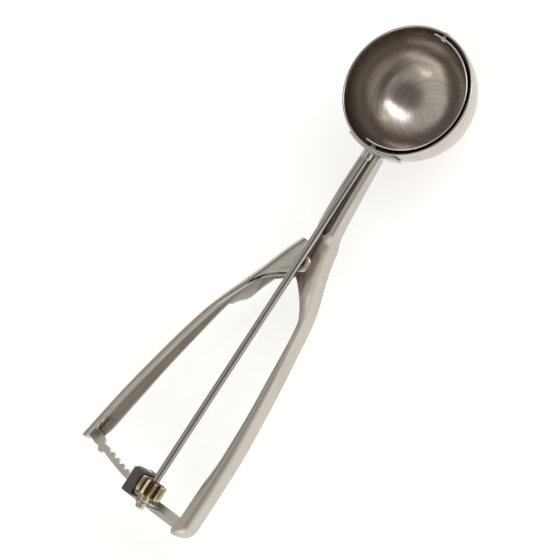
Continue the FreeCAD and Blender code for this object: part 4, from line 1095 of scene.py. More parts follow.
@dataclass
class ScoopBowl(SubAssembly):
    """The bowl with its saddle, bush, front pivot and sweeping blade."""

    sizes: Sizes
    saddle_angle: float = 50.0
    saddle_lift: float = 0.3
    saddle_above: float = 2.2
    saddle_below: float = 4.8
    blade_gap: float = 1.0
    blade_sheet: float = 0.6
    blade_width: float = 9.0
    blade_tab: float = 2.6
    blade_edge: float = 2.85
    bush_length: float = 3.0
    pivot_head: float = 1.6
    ring_depth: float = 0.025

    def build(self) -> None:
        """Build and dress every piece."""
        sizes = self.sizes
        self.fit(self.shell(), BOWL_STEEL, Slot.SATIN, Body.FRAME, "bowl")
        self.fit(self.saddle(), SADDLE_STEEL, Slot.SATIN, Body.FRAME, "bowl_saddle")
        bush_end = -sizes.bowl_radius - sizes.saddle_wall
        bush = ring_outline(bush_end - self.bush_length, self.bush_length, sizes.rod_radius + 0.05,
                            sizes.rod_radius + 0.6, 0.2)
        self.fit(Workpiece("dressed_neck_bush").turned(bush, (0, 0, sizes.rod_z), closed=True).done(),
                 BRIGHT_STEEL, Slot.BRIGHT, Body.FRAME, "neck_bush")
        self.fit(self.pivot(), BRIGHT_STEEL, Slot.BRIGHT, Body.SWEEP, "front_pivot")
        self.fit(self.blade(), BLADE_STEEL, Slot.BRIGHT, Body.SWEEP, "sweep_blade")

    def shell(self) -> bpy.types.Object:
        """The half-round shell with its band, rounded rim and the faint rings of its spinning.

        Returns:
            The bowl.
        """
        outer, inner = self.sizes.bowl_radius, self.sizes.bowl_radius - self.sizes.bowl_wall
        steps = 72
        profile: list[Flat] = []
        for step in range(steps + 1):
            turn = math.pi / 2 * step / steps
            profile.append((-outer * math.cos(turn), outer * math.sin(turn)))
        rim, half = self.sizes.rim_over_rod, self.sizes.bowl_wall / 2
        profile += [(rim * share, outer) for share in (0.3, 0.6)]
        for step in range(9):
            turn = math.pi * step / 8
            profile.append((rim - half * 0.8 + half * 0.8 * math.sin(turn),
                            outer - half + half * math.cos(turn)))
        profile += [(rim * share, inner) for share in (0.6, 0.3)]
        for step in range(steps, -1, -1):
            turn = math.pi / 2 * step / steps
            bulge = self.ring_depth * self.ring_wave(turn)
            profile.append((-(inner - bulge) * math.cos(turn), (inner - bulge) * math.sin(turn)))
        return Workpiece("dressed_bowl").turned(profile, (0, 0, self.sizes.rod_z), upright=True,
                                                steps=160).done(60.0)

    def ring_wave(self, turn: float) -> float:
        """How far a ring stands up from the inside, at an angle from the pole.

        Args:
            turn: The angle from the pole, in radians.

        Returns:
            A share of the rings' depth.
        """
        degrees = math.degrees(turn)
        wave = 0.0
        for middle, width, tall in ((41.0, 2.5, 0.8), (49.0, 3.0, -0.5), (60.0, 3.0, 0.6),
                                    (70.0, 3.0, -0.5)):
            wave += tall * math.exp(-((degrees - middle) / width) ** 2)
        return wave

    def saddle(self) -> bpy.types.Object:
        """The pressed strap round the back of the bowl.

        Returns:
            The saddle.
        """
        inner = self.sizes.bowl_radius + 0.02
        outer = self.sizes.bowl_radius + self.sizes.saddle_wall

        def radius_at(height: float, full: float) -> float:
            return full if height > 0 else math.sqrt(full ** 2 - height ** 2)

        heights = [self.saddle_above - (self.saddle_above + self.saddle_below) * i / 14 for i in range(15)]
        soft = 0.25
        loop = [(radius_at(z, inner), z) for z in heights]
        loop += [(radius_at(heights[-1], inner) + soft, heights[-1] - 0.0)]
        outside = [(radius_at(z, outer), z) for z in reversed(heights)]
        outside[0] = (outside[0][0] - soft * 0.3, outside[0][1])
        outside[-1] = (outside[-1][0] - soft, outside[-1][1])
        outside.insert(-1, (outer, heights[0] - soft))
        loop += outside
        rows = []
        steps = 32
        for step in range(steps + 1):
            turn = math.radians(180 - self.saddle_angle / 2 + self.saddle_angle * step / steps)
            ending = max(0.0, 1 - min(step, steps - step) / 3)
            lift = self.saddle_lift * ending * ending
            rows.append([((r + lift) * math.cos(turn), (r + lift) * math.sin(turn), self.sizes.rod_z + z)
                         for r, z in loop])
        return Workpiece("dressed_bowl_saddle").skin(rows).done()

    def pivot(self) -> bpy.types.Object:
        """The rivet at the front of the bowl, a head on each side of the wall.

        Returns:
            The rivet.
        """
        strip = self.sizes.bowl_radius - self.sizes.bowl_wall - self.blade_gap - self.blade_sheet
        head, tall = self.pivot_head, 0.6
        inner = math.sqrt(strip ** 2 - head ** 2) - 0.05
        outer = self.sizes.bowl_radius + 0.15
        profile = [(inner - tall, 0.0), (inner - tall, head * 0.55), (inner - tall * 0.85, head * 0.8),
                   (inner - tall * 0.4, head * 0.97), (inner, head), (inner, 1.0), (outer, 1.0),
                   (outer, head), (outer + tall * 0.45, head * 0.94), (outer + tall * 0.85, head * 0.72),
                   (outer + tall, head * 0.4), (outer + tall, 0.0)]
        return Workpiece("dressed_front_pivot").turned(profile, (0, 0, self.sizes.rod_z), steps=40).done()

    def blade(self) -> bpy.types.Object:
        """The thin strip that sweeps the inside, with a tab past each pivot.

        Returns:
            The blade.
        """
        outer = self.sizes.bowl_radius - self.sizes.bowl_wall - self.blade_gap
        inner = outer - self.blade_sheet
        half = self.blade_width / 2
        tilt = math.asin(half / outer) - math.asin(self.blade_edge / outer)
        rows = []
        section = rounded([Corner(-half, 0.0, 0.2), Corner(half, 0.0, 0.2),
                           Corner(half, self.blade_sheet, 0.3), Corner(-half, self.blade_sheet, 0.3)], 3)
        strip = [spot for i, spot in enumerate(section)]
        wide = []
        for (w0, t0), (w1, t1) in zip(strip, strip[1:] + strip[:1]):
            pieces = 6 if abs(w1 - w0) > 1 else 1
            wide += [(w0 + (w1 - w0) * k / pieces, t0 + (t1 - t0) * k / pieces) for k in range(pieces)]
        steps = 140
        past = math.asin(self.blade_tab / outer)
        for step in range(steps + 1):
            turn = past - (math.pi + 2 * past) * step / steps
            row = []
            for w, depth in wide:
                radius = outer - depth
                flat = math.sqrt(max(radius ** 2 - w ** 2, 0.0))
                x, along = flat * math.cos(turn), flat * math.sin(turn)
                y = along * math.cos(tilt) - w * math.sin(tilt)
                z = along * math.sin(tilt) + w * math.cos(tilt)
                row.append((x, y, self.sizes.rod_z + z))
            rows.append(row)
        return Workpiece("dressed_sweep_blade").skin(rows).done()


def ring_outline(start: float, length: float, bore: float, radius: float, soft: float) -> list[Flat]:
    """The closed profile of a ring with softened edges.

    Args:
        start: Where it starts along its axis.
        length: How long it is.
        bore: Its inner radius.
        radius: Its outer radius.
        soft: Radius of its outer edges.

    Returns:
        Points as (along, radius).
    """
    return rounded([Corner(start, bore), Corner(start + length, bore), Corner(start + length, radius, soft),
                    Corner(start, radius, soft)], 3)


@dataclass
class FixedArm(SubAssembly):
    """The pressed arm: handle, hinge cheeks and the trough of the shank in one sheet."""

    sizes: Sizes
    foot_length: float = 11.0
    rivet_head: float = 1.6
    arm_bend: float = 4.0
    dish: float = 0.5
    roll: float = 2.4
    trough_bend: float = 2.2
    back_bend: float = 1.4
    ear_radius: float = 5.0
    shank_right: float = 4.6
    shank_depth: float = 5.2
    rod_room: float = 0.6
    pace: float = 1.6
    lines: dict[str, FairLine] = field(default_factory=dict)

    def build(self) -> None:
        """Build and dress the arm."""
        self.fit(self.channel(), ARM_STEEL, Slot.SATIN, Body.FRAME, "fixed_arm")

    def stations(self) -> list[dict[str, float]]:
        """The sections of the pressed sheet from the tail to the bowl.

        Returns:
            For each: x, reach of the web, flange edges, faces, lip and front bend.
        """
        sizes = self.sizes
        handle = sizes.hinge_x - sizes.corner_x
        foot = 1 - (self.foot_length + self.rivet_head) / handle
        tail_bottom, low = sizes.bar_bottom - sizes.sheet_wall, sizes.hinge_bottom
        flange_tail = sizes.arm_spread - sizes.arm_flange
        made = []
        for share, outer, front, deep, roll in (
                (1.0, 1.0, 1.0, 0.0, 0.0), (foot, 1.0, 1.0, 0.0, 0.1), (0.72, 0.98, 0.98, 0.5, 1.0),
                (0.57, 0.915, 0.955, 1.0, 1.0), (0.43, 0.845, 0.885, 1.0, 1.0),
                (0.285, 0.75, 0.825, 1.0, 1.0), (0.2, 0.695, 0.76, 1.0, 0.8),
                (0.138, 0.635, 0.575, 1.0, 0.3), (0.092, 0.565, 0.325, 1.0, 0.0),
                (0.062, 0.51, 0.115, 1.0, 0.0)):
            bottom = tail_bottom + (low - tail_bottom) * deep
            made.append({"x": sizes.hinge_x - handle * share, "outer": -sizes.arm_spread * outer,
                         "front": -flange_tail * front, "back": -flange_tail * front, "top": -sizes.arm_top,
                         "bottom": bottom, "lip": sizes.sheet_wall + 0.2 * min(1.0, deep * 4),
                         "bend": self.arm_bend, "dish": self.dish if share < 0.13 else 0.0,
                         "roll": roll * self.roll, "inside": self.back_bend - sizes.sheet_wall})
        for along, outer, edge in ((-3.2, 0.455, 0.5), (0.0, 0.405, 0.84), (4.0, 0.35, 0.74)):
            made.append({"x": sizes.hinge_x + along, "outer": -sizes.arm_spread * outer,
                         "front": self.ear_radius * edge, "back": self.ear_radius * edge,
                         "top": -sizes.arm_top, "bottom": low, "lip": sizes.sheet_wall + 0.2,
                         "bend": self.arm_bend, "dish": self.dish, "roll": 0.0,
                         "inside": self.back_bend - sizes.sheet_wall})
        left = sizes.rod_radius + self.rod_room + sizes.sheet_wall
        narrow, reach = sizes.sheet_wall * 2.4, self.shank_right
        shank = -sizes.hinge_x - sizes.bowl_radius
        for share, outer, front, deep, lip, top in (
                (0.2, reach + 1.6, 0.0, 0.97, 0.0, sizes.arm_top), (0.3, reach + 1.1, 1.0, 0.6, 0.75, 1.1),
                (0.62, reach + 0.5, 1.0, 0.27, 0.96, 0.4), (0.985, reach, 1.0, 0.0, 1.0, 0.2)):
            bottom = -self.shank_depth + (low + self.shank_depth) * deep
            full = -0.2 - bottom
            made.append({"x": sizes.hinge_x + shank * share, "outer": -outer,
                         "front": left + (narrow - outer - left) * front, "back": left, "top": -top,
                         "bottom": bottom, "lip": (sizes.sheet_wall + 0.2) * (1 - lip) + full * lip,
                         "bend": self.arm_bend + (sizes.sheet_wall * 1.5 - self.arm_bend) * front,
                         "dish": 0.4 * self.dish * (1 - front), "roll": 0.0,
                         "inside": self.back_bend - sizes.sheet_wall + self.trough_bend * front})
        return made

    def section(self, at: dict[str, float]) -> list[Flat]:
        """The bent sheet at one station.

        Args:
            at: The station.

        Returns:
            A closed outline as (y, z) points.
        """
        wall = self.sizes.sheet_wall
        front, outer, back = at["front"], at["outer"], at["back"]
        top, bottom, bend = at["top"], at["bottom"], at["bend"]
        lip = bottom + at["lip"]
        across = front - outer
        flat = min(bend, max(across * 0.55, wall * 1.25))
        roll = at["roll"]
        low = top - at["dish"] - roll
        step = outer + flat + (across - flat) * 0.12
        return rounded([
            Corner(front, low, 0.3),
            Corner(step + (front - step) * (0.3 + 0.3 * min(roll, 1.0)), low + roll * 0.72, 0.5 + roll),
            Corner(step, top, 0.5 + roll), Corner(outer, top, flat), Corner(outer, bottom, self.back_bend),
            Corner(back, bottom, 0.3), Corner(back, lip), Corner(back - wall, lip, 0.1),
            Corner(back - wall, bottom + wall, 0.05), Corner(outer + wall, bottom + wall, at["inside"]),
            Corner(outer + wall, top - wall, max(flat - wall, 0.15)), Corner(front, low - wall)], 6)

    def channel(self) -> bpy.types.Object:
        """The whole sheet, its corner at the tail included.

        Returns:
            The arm.
        """
        sizes = self.sizes
        stations = self.stations()
        places = [station["x"] for station in stations]
        for name in stations[0]:
            if name != "x":
                self.lines[name] = FairLine(places, [station[name] for station in stations])
        axis_y = -sizes.arm_spread + sizes.corner_radius
        rows = []
        first = self.section(stations[0])
        for step in range(16, 0, -1):
            turn = -math.pi / 2 * step / 16
            rows.append([(sizes.corner_x + (y - axis_y) * -math.sin(turn),
                          axis_y + (y - axis_y) * math.cos(turn), sizes.rod_z + z) for y, z in first])
        count = round((places[-1] - places[0]) / self.pace)
        for step in range(count + 1):
            x = places[0] + (places[-1] - places[0]) * step / count
            at = {name: line.at(x) for name, line in self.lines.items()}
            rows.append([(x, y, sizes.rod_z + z) for y, z in self.section(at)])
        return Workpiece("dressed_fixed_arm").skin(rows).done(50.0)


@dataclass
class SqueezeLever(SubAssembly):
    """The lever's channel with its ears, the rack on its tail and the rivets between them."""

    sizes: Sizes
    wall: float = 0.9
    bend: float = 1.8
    spread: float = 41.6
    flange: float = 6.5
    front_flange: float = 3.5
    tail_bend: float = 2.4
    crown_bend: float = 4.4
    short: float = 4.1
    end: float = 8.5
    snip: float = 9.0
    ear_radius: float = 5.0
    tab_length: float = 11.0
    rack_band: float = 1.6
    tooth_tip: float = 0.3
    neck_width: float = 5.5
    shoulder: float = 1.1
    stop_bump: float = 1.6
    bump_turn: float = 15.8
    teeth_shown: int = 8
    tooth_steps: int = 14
    end_share: float = 0.202
    flange_room: float = 0.3
    rack_head_radius: float = 1.15
    rack_head_height: float = 0.45
    pace: float = 1.6

    @property
    def length(self) -> float:
        """From the hinge to the tail."""
        return self.sizes.hinge_x - self.sizes.corner_x - self.short

    def build(self) -> None:
        """Build and dress every piece."""
        self.fit(self.channel(), LEVER_STEEL, Slot.SATIN, Body.LEVER, "lever")
        self.fit(self.rack(), RACK_STEEL, Slot.SATIN, Body.LEVER, "rack")
        self.fit(self.rivets(), BRIGHT_STEEL, Slot.BRIGHT, Body.LEVER, "rack_rivets")

    def stations(self) -> list[tuple[float, float, float]]:
        """Places from the tail to the front end: x, reach of the web and depth of the flanges."""
        made = [(self.sizes.hinge_x - self.length * share, self.spread * outer, self.flange * deep)
                for share, outer, deep in (
                    (1.0, 1.0, 1.0), (0.77, 0.896, 0.94), (0.64, 0.824, 0.82), (0.457, 0.712, 0.68),
                    (0.277, 0.577, 0.46), (0.214, 0.518, 0.42), (0.066, 0.36, 0.42),
                    (0.006, 0.303, 0.42))]
        made.append((self.sizes.hinge_x + self.end, self.spread * self.end_share, self.flange * 0.42))
        return made

    def channel(self) -> bpy.types.Object:
        """The channel and its two ears.

        Returns:
            The lever.
        """
        sizes = self.sizes
        stations = self.stations()
        places = [x for x, _, _ in stations]
        reach = FairLine(places, [outer for _, outer, _ in stations])
        depth = FairLine(places, [deep for _, _, deep in stations])
        top, bottom, wall = sizes.lever_top, sizes.lever_bottom, self.wall
        rows = []
        tail = places[0]
        near_tail = [tail + self.snip * share
                     for share in (0.0, 0.03, 0.08, 0.15, 0.25, 0.37, 0.5, 0.65, 0.8, 1.0)]
        count = round((places[-1] - tail - self.snip) / self.pace)
        spots = near_tail + [tail + self.snip + (places[-1] - tail - self.snip) * step / count
                             for step in range(1, count + 1)]
        for x in spots:
            outer = reach.at(x)
            full = max(depth.at(x), self.bend + self.flange_room)
            share = min(1.0, (x - tail) / self.snip)
            rounding = math.sqrt(max(0.0, 1 - (1 - share) ** 2))
            edge = outer - (self.bend + self.flange_room + (full - self.bend - self.flange_room) * rounding)
            bend = self.tail_bend + (self.crown_bend - self.tail_bend) * self.crown(x)
            flange = max(min(full, self.front_flange), bend + 0.4)
            front = outer - flange * (0.86 + 0.14 * rounding)
            bend = min(bend, outer - front - 0.3)
            slope = 0.15 + 0.55 * self.crown(x)
            rows.append([(x, y, sizes.rod_z + z) for y, z in rounded([
                Corner(front, top - 0.15, 0.3), Corner(outer, top - slope, bend),
                Corner(outer, bottom, self.bend), Corner(edge, bottom, 0.3), Corner(edge, bottom + wall),
                Corner(outer - wall, bottom + wall, self.bend - wall),
                Corner(outer - wall, top - slope - wall, bend - wall),
                Corner(front, top - 0.15 - wall)], 5)])
        work = Workpiece("dressed_lever").skin(rows)
        for outline, low in ((self.front_ear(), top - wall - 0.03), (self.back_ear(), bottom + 0.03)):
            work.plate(outline, low, wall, 0.12, (0, 0, sizes.rod_z))
        return work.done(45.0)

    def crown(self, x: float) -> float:
        """How far the front bend has grown at a place: 0 along the grip and 1 at the hinge."""
        share = (self.sizes.hinge_x - x) / self.length
        near = max(0.0, min(1.0, (0.36 - share) / 0.2))
        return near * near * (3 - 2 * near)

    def spots(self, *shares: Flat) -> list[Flat]:
        """Places given as shares of the length and of the spread."""
        return [(self.sizes.hinge_x - self.length * along, self.spread * across) for along, across in shares]

    def round_ear(self) -> list[Flat]:
        """The ear's arc round the hinge, from its back round the near side to its front."""
        return [(self.sizes.hinge_x + self.ear_radius * math.cos(math.radians(turn)),
                 self.ear_radius * math.sin(math.radians(turn))) for turn in range(165, 372, 9)]

    def front_ear(self) -> list[Flat]:
        """Outline of the front ear, cut straight."""
        inner = self.crown_bend + 0.1
        end = (self.sizes.hinge_x + self.end, self.spread * self.end_share - inner)
        upper = [(x, y - inner) for x, y in self.spots((0.066, 0.36), (0.18, 0.484))]
        return [end] + upper + self.spots((0.155, 0.36), (0.098, 0.255), (0.075, 0.185)) + self.round_ear()

    def back_ear(self) -> list[Flat]:
        """Outline of the back ear, which bulges in a crescent."""
        inner = self.bend
        end = (self.sizes.hinge_x + self.end, self.spread * self.end_share - inner)
        upper = [(x, y - inner) for x, y in self.spots((0.066, 0.36), (0.283, 0.578))]
        crescent = self.spots((0.273, 0.475), (0.25, 0.435), (0.219, 0.36), (0.156, 0.3), (0.107, 0.245))
        return [end] + upper + flowing(crescent, 4) + self.round_ear()

    def rack(self) -> bpy.types.Object:
        """The toothed plate about the hinge, its neck and its tab on the lever's web.

        Returns:
            The rack.
        """
        sizes = self.sizes
        (x0, y0, _), (x1, y1, _) = self.stations()[:2]
        along = Vector((x1 - x0, y1 - y0))
        along.normalize()
        inward = Vector((along.y, -along.x))
        corner = Vector((x0, y0)) + inward * self.wall
        pitch = math.tau / sizes.rack_teeth
        meshed = math.asin(sizes.idler_y / sizes.pitch_radius)
        start = meshed - 1.5 * pitch
        face = corner + inward * sizes.rack_sheet
        end = math.atan2(face.y, sizes.hinge_x - face.x)
        outside = sizes.pitch_radius + sizes.prong_root + self.rack_band

        def spot(radius: float, turn: float) -> Flat:
            return (sizes.hinge_x - radius * math.cos(turn), radius * math.sin(turn))

        root, teeth_end = sizes.pitch_radius + sizes.prong_root - 0.15, meshed + 6.5 * pitch
        tall = root - sizes.pitch_radius + self.tooth_tip
        inner = []
        steps = self.teeth_shown * self.tooth_steps
        for step in range(steps + 1):
            turn = start + (teeth_end - start) * step / steps
            wave = math.cos((turn - meshed) / pitch * math.tau)
            inner.append(spot(root - tall * (0.5 + 0.5 * wave) ** 0.6, turn))
        wide = self.neck_width
        neck = [corner + inward * 8.2 + along * (wide * 0.62), corner + inward * 7.0 + along * (wide * 0.88),
                corner + inward * 3.6 + along * wide, corner + inward * 1.2 + along * wide]
        into_neck = [inner[-1], spot(root - 1.1, teeth_end + pitch * 0.45)]
        inner += flowing(into_neck + [tuple(place) for place in neck], 4)[1:]
        bump = start + math.radians(self.bump_turn)
        outer = [tuple(corner + inward * 0.1 + along * wide), tuple(corner + inward * 0.1)]
        stages = 60
        for step in range(stages + 1):
            turn = end + (start - end) * step / stages
            off = (turn - bump) * outside
            rise = math.sqrt(max(0.0, self.stop_bump ** 2 - off ** 2))
            past = max(0.0, min(1.0, off / 4.0))
            outer.append(spot(outside + max(rise, self.shoulder * past * past * (3 - 2 * past)), turn))
        outline = inner + outer
        low = sizes.rack_top - sizes.rack_sheet
        work = Workpiece("dressed_rack").plate(outline, low, sizes.rack_sheet, 0.1, (0, 0, sizes.rod_z))
        tab_low = sizes.lever_bottom + self.bend + 0.05
        tab_high = sizes.lever_top - self.bend - 0.05
        rows = []
        for share, shrink in ((0.0, 0.1), (0.01, 0.0), (0.99, 0.0), (1.0, 0.1)):
            foot = corner + along * (self.tab_length * share)
            face = foot + inward * sizes.rack_sheet
            rows.append([(*foot, sizes.rod_z + tab_low + shrink), (*face, sizes.rod_z + tab_low + shrink),
                         (*face, sizes.rod_z + tab_high - shrink), (*foot, sizes.rod_z + tab_high - shrink)])
        return work.skin(rows).done()

    def rivets(self) -> bpy.types.Object:
        """Domed heads of the rack's two rivets, on both sides of the web.

        Returns:
            The heads.
        """
        (x0, y0, _), (x1, y1, _) = self.stations()[:2]
        along = Vector((x1 - x0, y1 - y0, 0)).normalized()
        inward = Vector((along.y, -along.x, 0))
        height = self.sizes.rod_z + (self.sizes.lever_top + self.sizes.lever_bottom) / 2
        points = []
        for share in (0.55, 0.85):
            outer = Vector((x0, y0, height)) + along * (self.tab_length * share)
            inner = outer + inward * (self.wall + self.sizes.rack_sheet)
            points += [(outer, -inward), (inner, inward)]
        return rivet_heads("dressed_rack_rivets", points, self.rack_head_radius, self.rack_head_height,
                           BRIGHT_STEEL)


def rivet_heads(name: str, points: Sequence[tuple[Vector, Vector]], radius: float, height: float,
                finish: SteelFinish) -> bpy.types.Object:
    """Domed heads where rivets come through.

    Args:
        name: Name of the piece.
        points: Places and the way each head faces.
        radius: Radius of a head.
        height: Height of a head.
        finish: Its finish.

    Returns:
        The heads as one piece.
    """
    mesh = bpy.data.meshes.new(name)
    mesh.from_pydata([tuple(spot * MM) for spot, _ in points], [], [])
    way = mesh.attributes.new("way", "FLOAT_VECTOR", "POINT")
    for i, (_, direction) in enumerate(points):
        way.data[i].vector = direction
    seed = bpy.data.objects.new(name, mesh)
    bpy.context.scene.collection.objects.link(seed)
    made = TREES.grown(seed, TREES.heads, Radius=radius * MM, Height=height * MM, Finish=finish.material())
    return smooth(made, 60.0)


@dataclass
class Hinge(SubAssembly):
    """The hinge rivet with its washer and the return spring round it."""

    sizes: Sizes
    pin_radius: float = 1.5
    head_radius: float = 3.7
    head_height: float = 0.8
    tail_radius: float = 2.8
    washer_radius: float = 3.6
    washer_height: float = 0.5
    wire: float = 0.9

    def build(self) -> None:
        """Build and dress every piece."""
        self.fit(self.rivet(), BRIGHT_STEEL, Slot.BRIGHT, Body.FRAME, "hinge_pin")
        low = self.sizes.hinge_bottom - self.washer_height
        washer = ring_outline(low, self.washer_height, self.pin_radius, self.washer_radius, 0.12)
        centre = (self.sizes.hinge_x, 0, self.sizes.rod_z)
        piece = Workpiece("dressed_hinge_washer").turned(washer, centre, upright=True, closed=True).done()
        self.fit(piece, BRIGHT_STEEL, Slot.BRIGHT, Body.FRAME, "hinge_washer")
        self.fit(self.spring(), SPRING_STEEL, Slot.WIRE, Body.FRAME, "return_spring")

    def rivet(self) -> bpy.types.Object:
        """The headed rivet through arm and lever.

        Returns:
            The rivet.
        """
        top, low = -self.sizes.arm_top, self.sizes.hinge_bottom - self.washer_height
        tall, head, tail = self.head_height, self.head_radius, self.tail_radius
        profile = [(low - tall, 0.0), (low - tall, tail * 0.6), (low - tall * 0.9, tail * 0.8),
                   (low - tall * 0.5, tail * 0.97), (low - tall * 0.2, tail), (low, tail),
                   (low, self.pin_radius), (top - 0.5, self.pin_radius), (top - 0.5, head),
                   (top + tall * 0.45, head), (top + tall * 0.8, head - 0.15), (top + tall, head - 0.45),
                   (top + tall, 1.0), (top + tall - 0.1, 0.85), (top + tall - 0.12, 0.0)]
        centre = (self.sizes.hinge_x, 0, self.sizes.rod_z)
        return Workpiece("dressed_hinge_pin").turned(profile, centre, upright=True).done()

    def spring(self) -> bpy.types.Object:
        """The torsion spring, one wire in real turns with a leg on each web.

        Returns:
            The spring.
        """
        sizes = self.sizes
        turns, radius, start, opening = 3.0, 3.1, math.radians(139.0), math.radians(76.0)
        ear_wall, ear_gap, spring_room = 0.9, 0.03, 0.12
        inside = sizes.lever_top - sizes.lever_bottom - 2 * (ear_wall + ear_gap + spring_room)
        tall = inside - self.wire
        low = (sizes.lever_top + sizes.lever_bottom - tall) / 2
        whole = math.tau * turns - opening
        steps = 150
        coil = []
        for step in range(steps + 1):
            angle = whole * step / steps
            turn = start - angle
            coil.append(Vector((radius * math.cos(turn), radius * math.sin(turn),
                                low + tall * step / steps)))
        before = Vector((math.sin(start), -math.cos(start), 0))
        last = start - whole
        after = Vector((math.sin(last), -math.cos(last), 0))
        lower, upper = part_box("return_spring")
        centre = Vector((sizes.hinge_x, 0, sizes.rod_z))
        reach_low = (coil[0].y - (lower.y / MM + self.wire / 2)) / before.y if before.y > 0 else 8.0
        reach_high = ((upper.y / MM - self.wire / 2) - coil[-1].y) / after.y if after.y > 0 else 8.0
        line = [coil[0] - before * reach_low] + coil + [coil[-1] + after * reach_high]
        mesh = bpy.data.meshes.new("dressed_return_spring")
        mesh.from_pydata([tuple((centre + spot) * MM) for spot in line],
                         [(i, i + 1) for i in range(len(line) - 1)], [])
        seed = bpy.data.objects.new("dressed_return_spring", mesh)
        bpy.context.scene.collection.objects.link(seed)
        made = TREES.grown(seed, TREES.wire, Radius=self.wire / 2 * MM, Finish=SPRING_STEEL.material())
        return smooth(made, 50.0)


@dataclass
class TailGears(SubAssembly):
    """The end bar, the cage with its idler, and the rod with its pinion."""

    sizes: Sizes
    knob_radius: float = 1.9
    knob_length: float = 2.0
    cage_width: float = 4.3
    cage_room: float = 0.3
    foot_length: float = 11.0
    rivet_head: float = 1.6
    tooth_soft: float = 0.35
    blade_gap: float = 1.0

    def build(self) -> None:
        """Build and dress every piece."""
        sizes = self.sizes
        self.fit(cad_copy("dressed_end_bar", "end_bar", 0.15), BAR_STEEL, Slot.SATIN, Body.FRAME, "end_bar")
        self.fit(self.bar_rivets(), BAR_STEEL, Slot.SATIN, Body.FRAME, "bar_rivets")
        self.fit(self.cage(), CAGE_STEEL, Slot.DARK, Body.FRAME, "gear_cage")
        self.fit(cad_copy("dressed_cage_rivet", "cage_rivet", 0.15), BRIGHT_STEEL, Slot.BRIGHT, Body.FRAME,
                 "cage_rivet")
        self.fit(self.idler_pin(), BRIGHT_STEEL, Slot.BRIGHT, Body.FRAME, "idler_pin")
        idler_centre = (0.0, sizes.idler_y, sizes.rod_z - sizes.idler_drop)
        facing = math.radians(-90 + 180 / sizes.gear_teeth)
        idler = self.gear("dressed_idler_gear", idler_centre, facing, sizes.idler_pin_radius + 0.05)
        # Both brass finishes paint shade into the grooves of the teeth.
        self.fit(idler, BrassFinish("worn_idler_brass_with_painted_shade", idler_centre), Slot.BRASS, Body.IDLER, "idler_gear")
        to_idler = math.atan2(-sizes.idler_drop, sizes.idler_y)
        ahead = facing - (to_idler + math.pi)
        centre = (0.0, 0.0, sizes.rod_z)
        pinion = self.gear("dressed_rod_pinion", centre, to_idler - ahead + math.pi / sizes.gear_teeth,
                           sizes.rod_radius + 0.05)
        self.fit(pinion, BrassFinish("worn_pinion_brass_with_painted_shade", centre), Slot.BRASS, Body.SWEEP, "rod_pinion")
        self.fit(cad_copy("dressed_pinion_pin", "pinion_pin", 0.08), BRIGHT_STEEL, Slot.BRIGHT, Body.SWEEP,
                 "pinion_pin")
        washer = ring_outline(sizes.hub_back - sizes.side_gap + 0.02, sizes.side_gap - 0.04,
                              sizes.rod_radius + 0.05, sizes.hub_radius - 0.2, 0.05)
        self.fit(Workpiece("dressed_tail_washer").turned(washer, centre, closed=True).done(), BRIGHT_STEEL,
                 Slot.BRIGHT, Body.SWEEP, "tail_washer")
        self.fit(self.rod(), ROD_STEEL, Slot.BRIGHT, Body.SWEEP, "sweep_rod")

    def bar_rivets(self) -> bpy.types.Object:
        """Domed heads of the two rivets in the bar's foot.

        Returns:
            The heads.
        """
        sizes = self.sizes
        y = -sizes.arm_spread + (sizes.foot_inset + sizes.arm_flange) / 2
        first = sizes.corner_x + self.rivet_head
        top, bottom = sizes.rod_z + sizes.bar_top, sizes.rod_z + sizes.bar_bottom - sizes.sheet_wall
        points = []
        for x in (first, first + self.foot_length / 2):
            points += [(Vector((x, y, top)), Vector((0, 0, 1))),
                       (Vector((x, y, bottom)), Vector((0, 0, -1)))]
        return rivet_heads("dressed_bar_rivets", points, self.rivet_head, 0.6, BAR_STEEL)

    def cage(self) -> bpy.types.Object:
        """The bent strip over the idler, its bends rounded.

        Returns:
            The cage.
        """
        sizes = self.sizes
        wall = sizes.cage_sheet
        back = sizes.hub_back - sizes.side_gap - wall
        front = sizes.gear_back + sizes.gear_face + sizes.side_gap + wall
        top = sizes.gear_tip - sizes.idler_drop + self.cage_room + wall
        foot = sizes.bar_bottom - wall
        outer = rounded([Corner(back, foot, 0.8), Corner(front, foot, 0.8), Corner(front, top, 2.8),
                         Corner(back, top, 1.0)], 6)
        inner = rounded([Corner(back + wall, foot + wall, 0.2), Corner(front - wall, foot + wall, 0.2),
                         Corner(front - wall, top - wall, 1.8), Corner(back + wall, top - wall, 0.3)], 6)
        soft, half = 0.18, self.cage_width / 2
        rows = []
        middle = sizes.idler_y
        for y, shrink in ((middle - half, soft), (middle - half + soft, 0.0), (middle + half - soft, 0.0),
                          (middle + half, soft)):
            around = inset(outer, shrink)
            within = inset(inner, -shrink * 0.5)
            rows.append(([(x, y, sizes.rod_z + z) for x, z in around],
                         [(x, y, sizes.rod_z + z) for x, z in within]))
        work = Workpiece("dressed_gear_cage")
        work.skin([around for around, _ in rows], capped=False)
        work.skin([within for _, within in rows], capped=False)
        for around, within in (rows[0], rows[-1]):
            work.skin([around, within], capped=False)
        return work.done()

    def idler_pin(self) -> bpy.types.Object:
        """The idler's pin, peened over both legs.

        Returns:
            The pin.
        """
        sizes = self.sizes
        start = sizes.hub_back - sizes.side_gap - sizes.cage_sheet
        end = sizes.gear_back + sizes.gear_face + sizes.side_gap + sizes.cage_sheet
        radius, head, tall = sizes.idler_pin_radius, sizes.idler_pin_radius + 0.5, 0.4
        profile = [(start - tall, 0.0), (start - tall, head * 0.5), (start - tall * 0.6, head * 0.9),
                   (start, head), (start, radius), (end, radius), (end, head),
                   (end + tall * 0.6, head * 0.9), (end + tall, head * 0.5), (end + tall, 0.0)]
        centre = (0.0, sizes.idler_y, sizes.rod_z - sizes.idler_drop)
        return Workpiece("dressed_idler_pin").turned(profile, centre, steps=36).done()

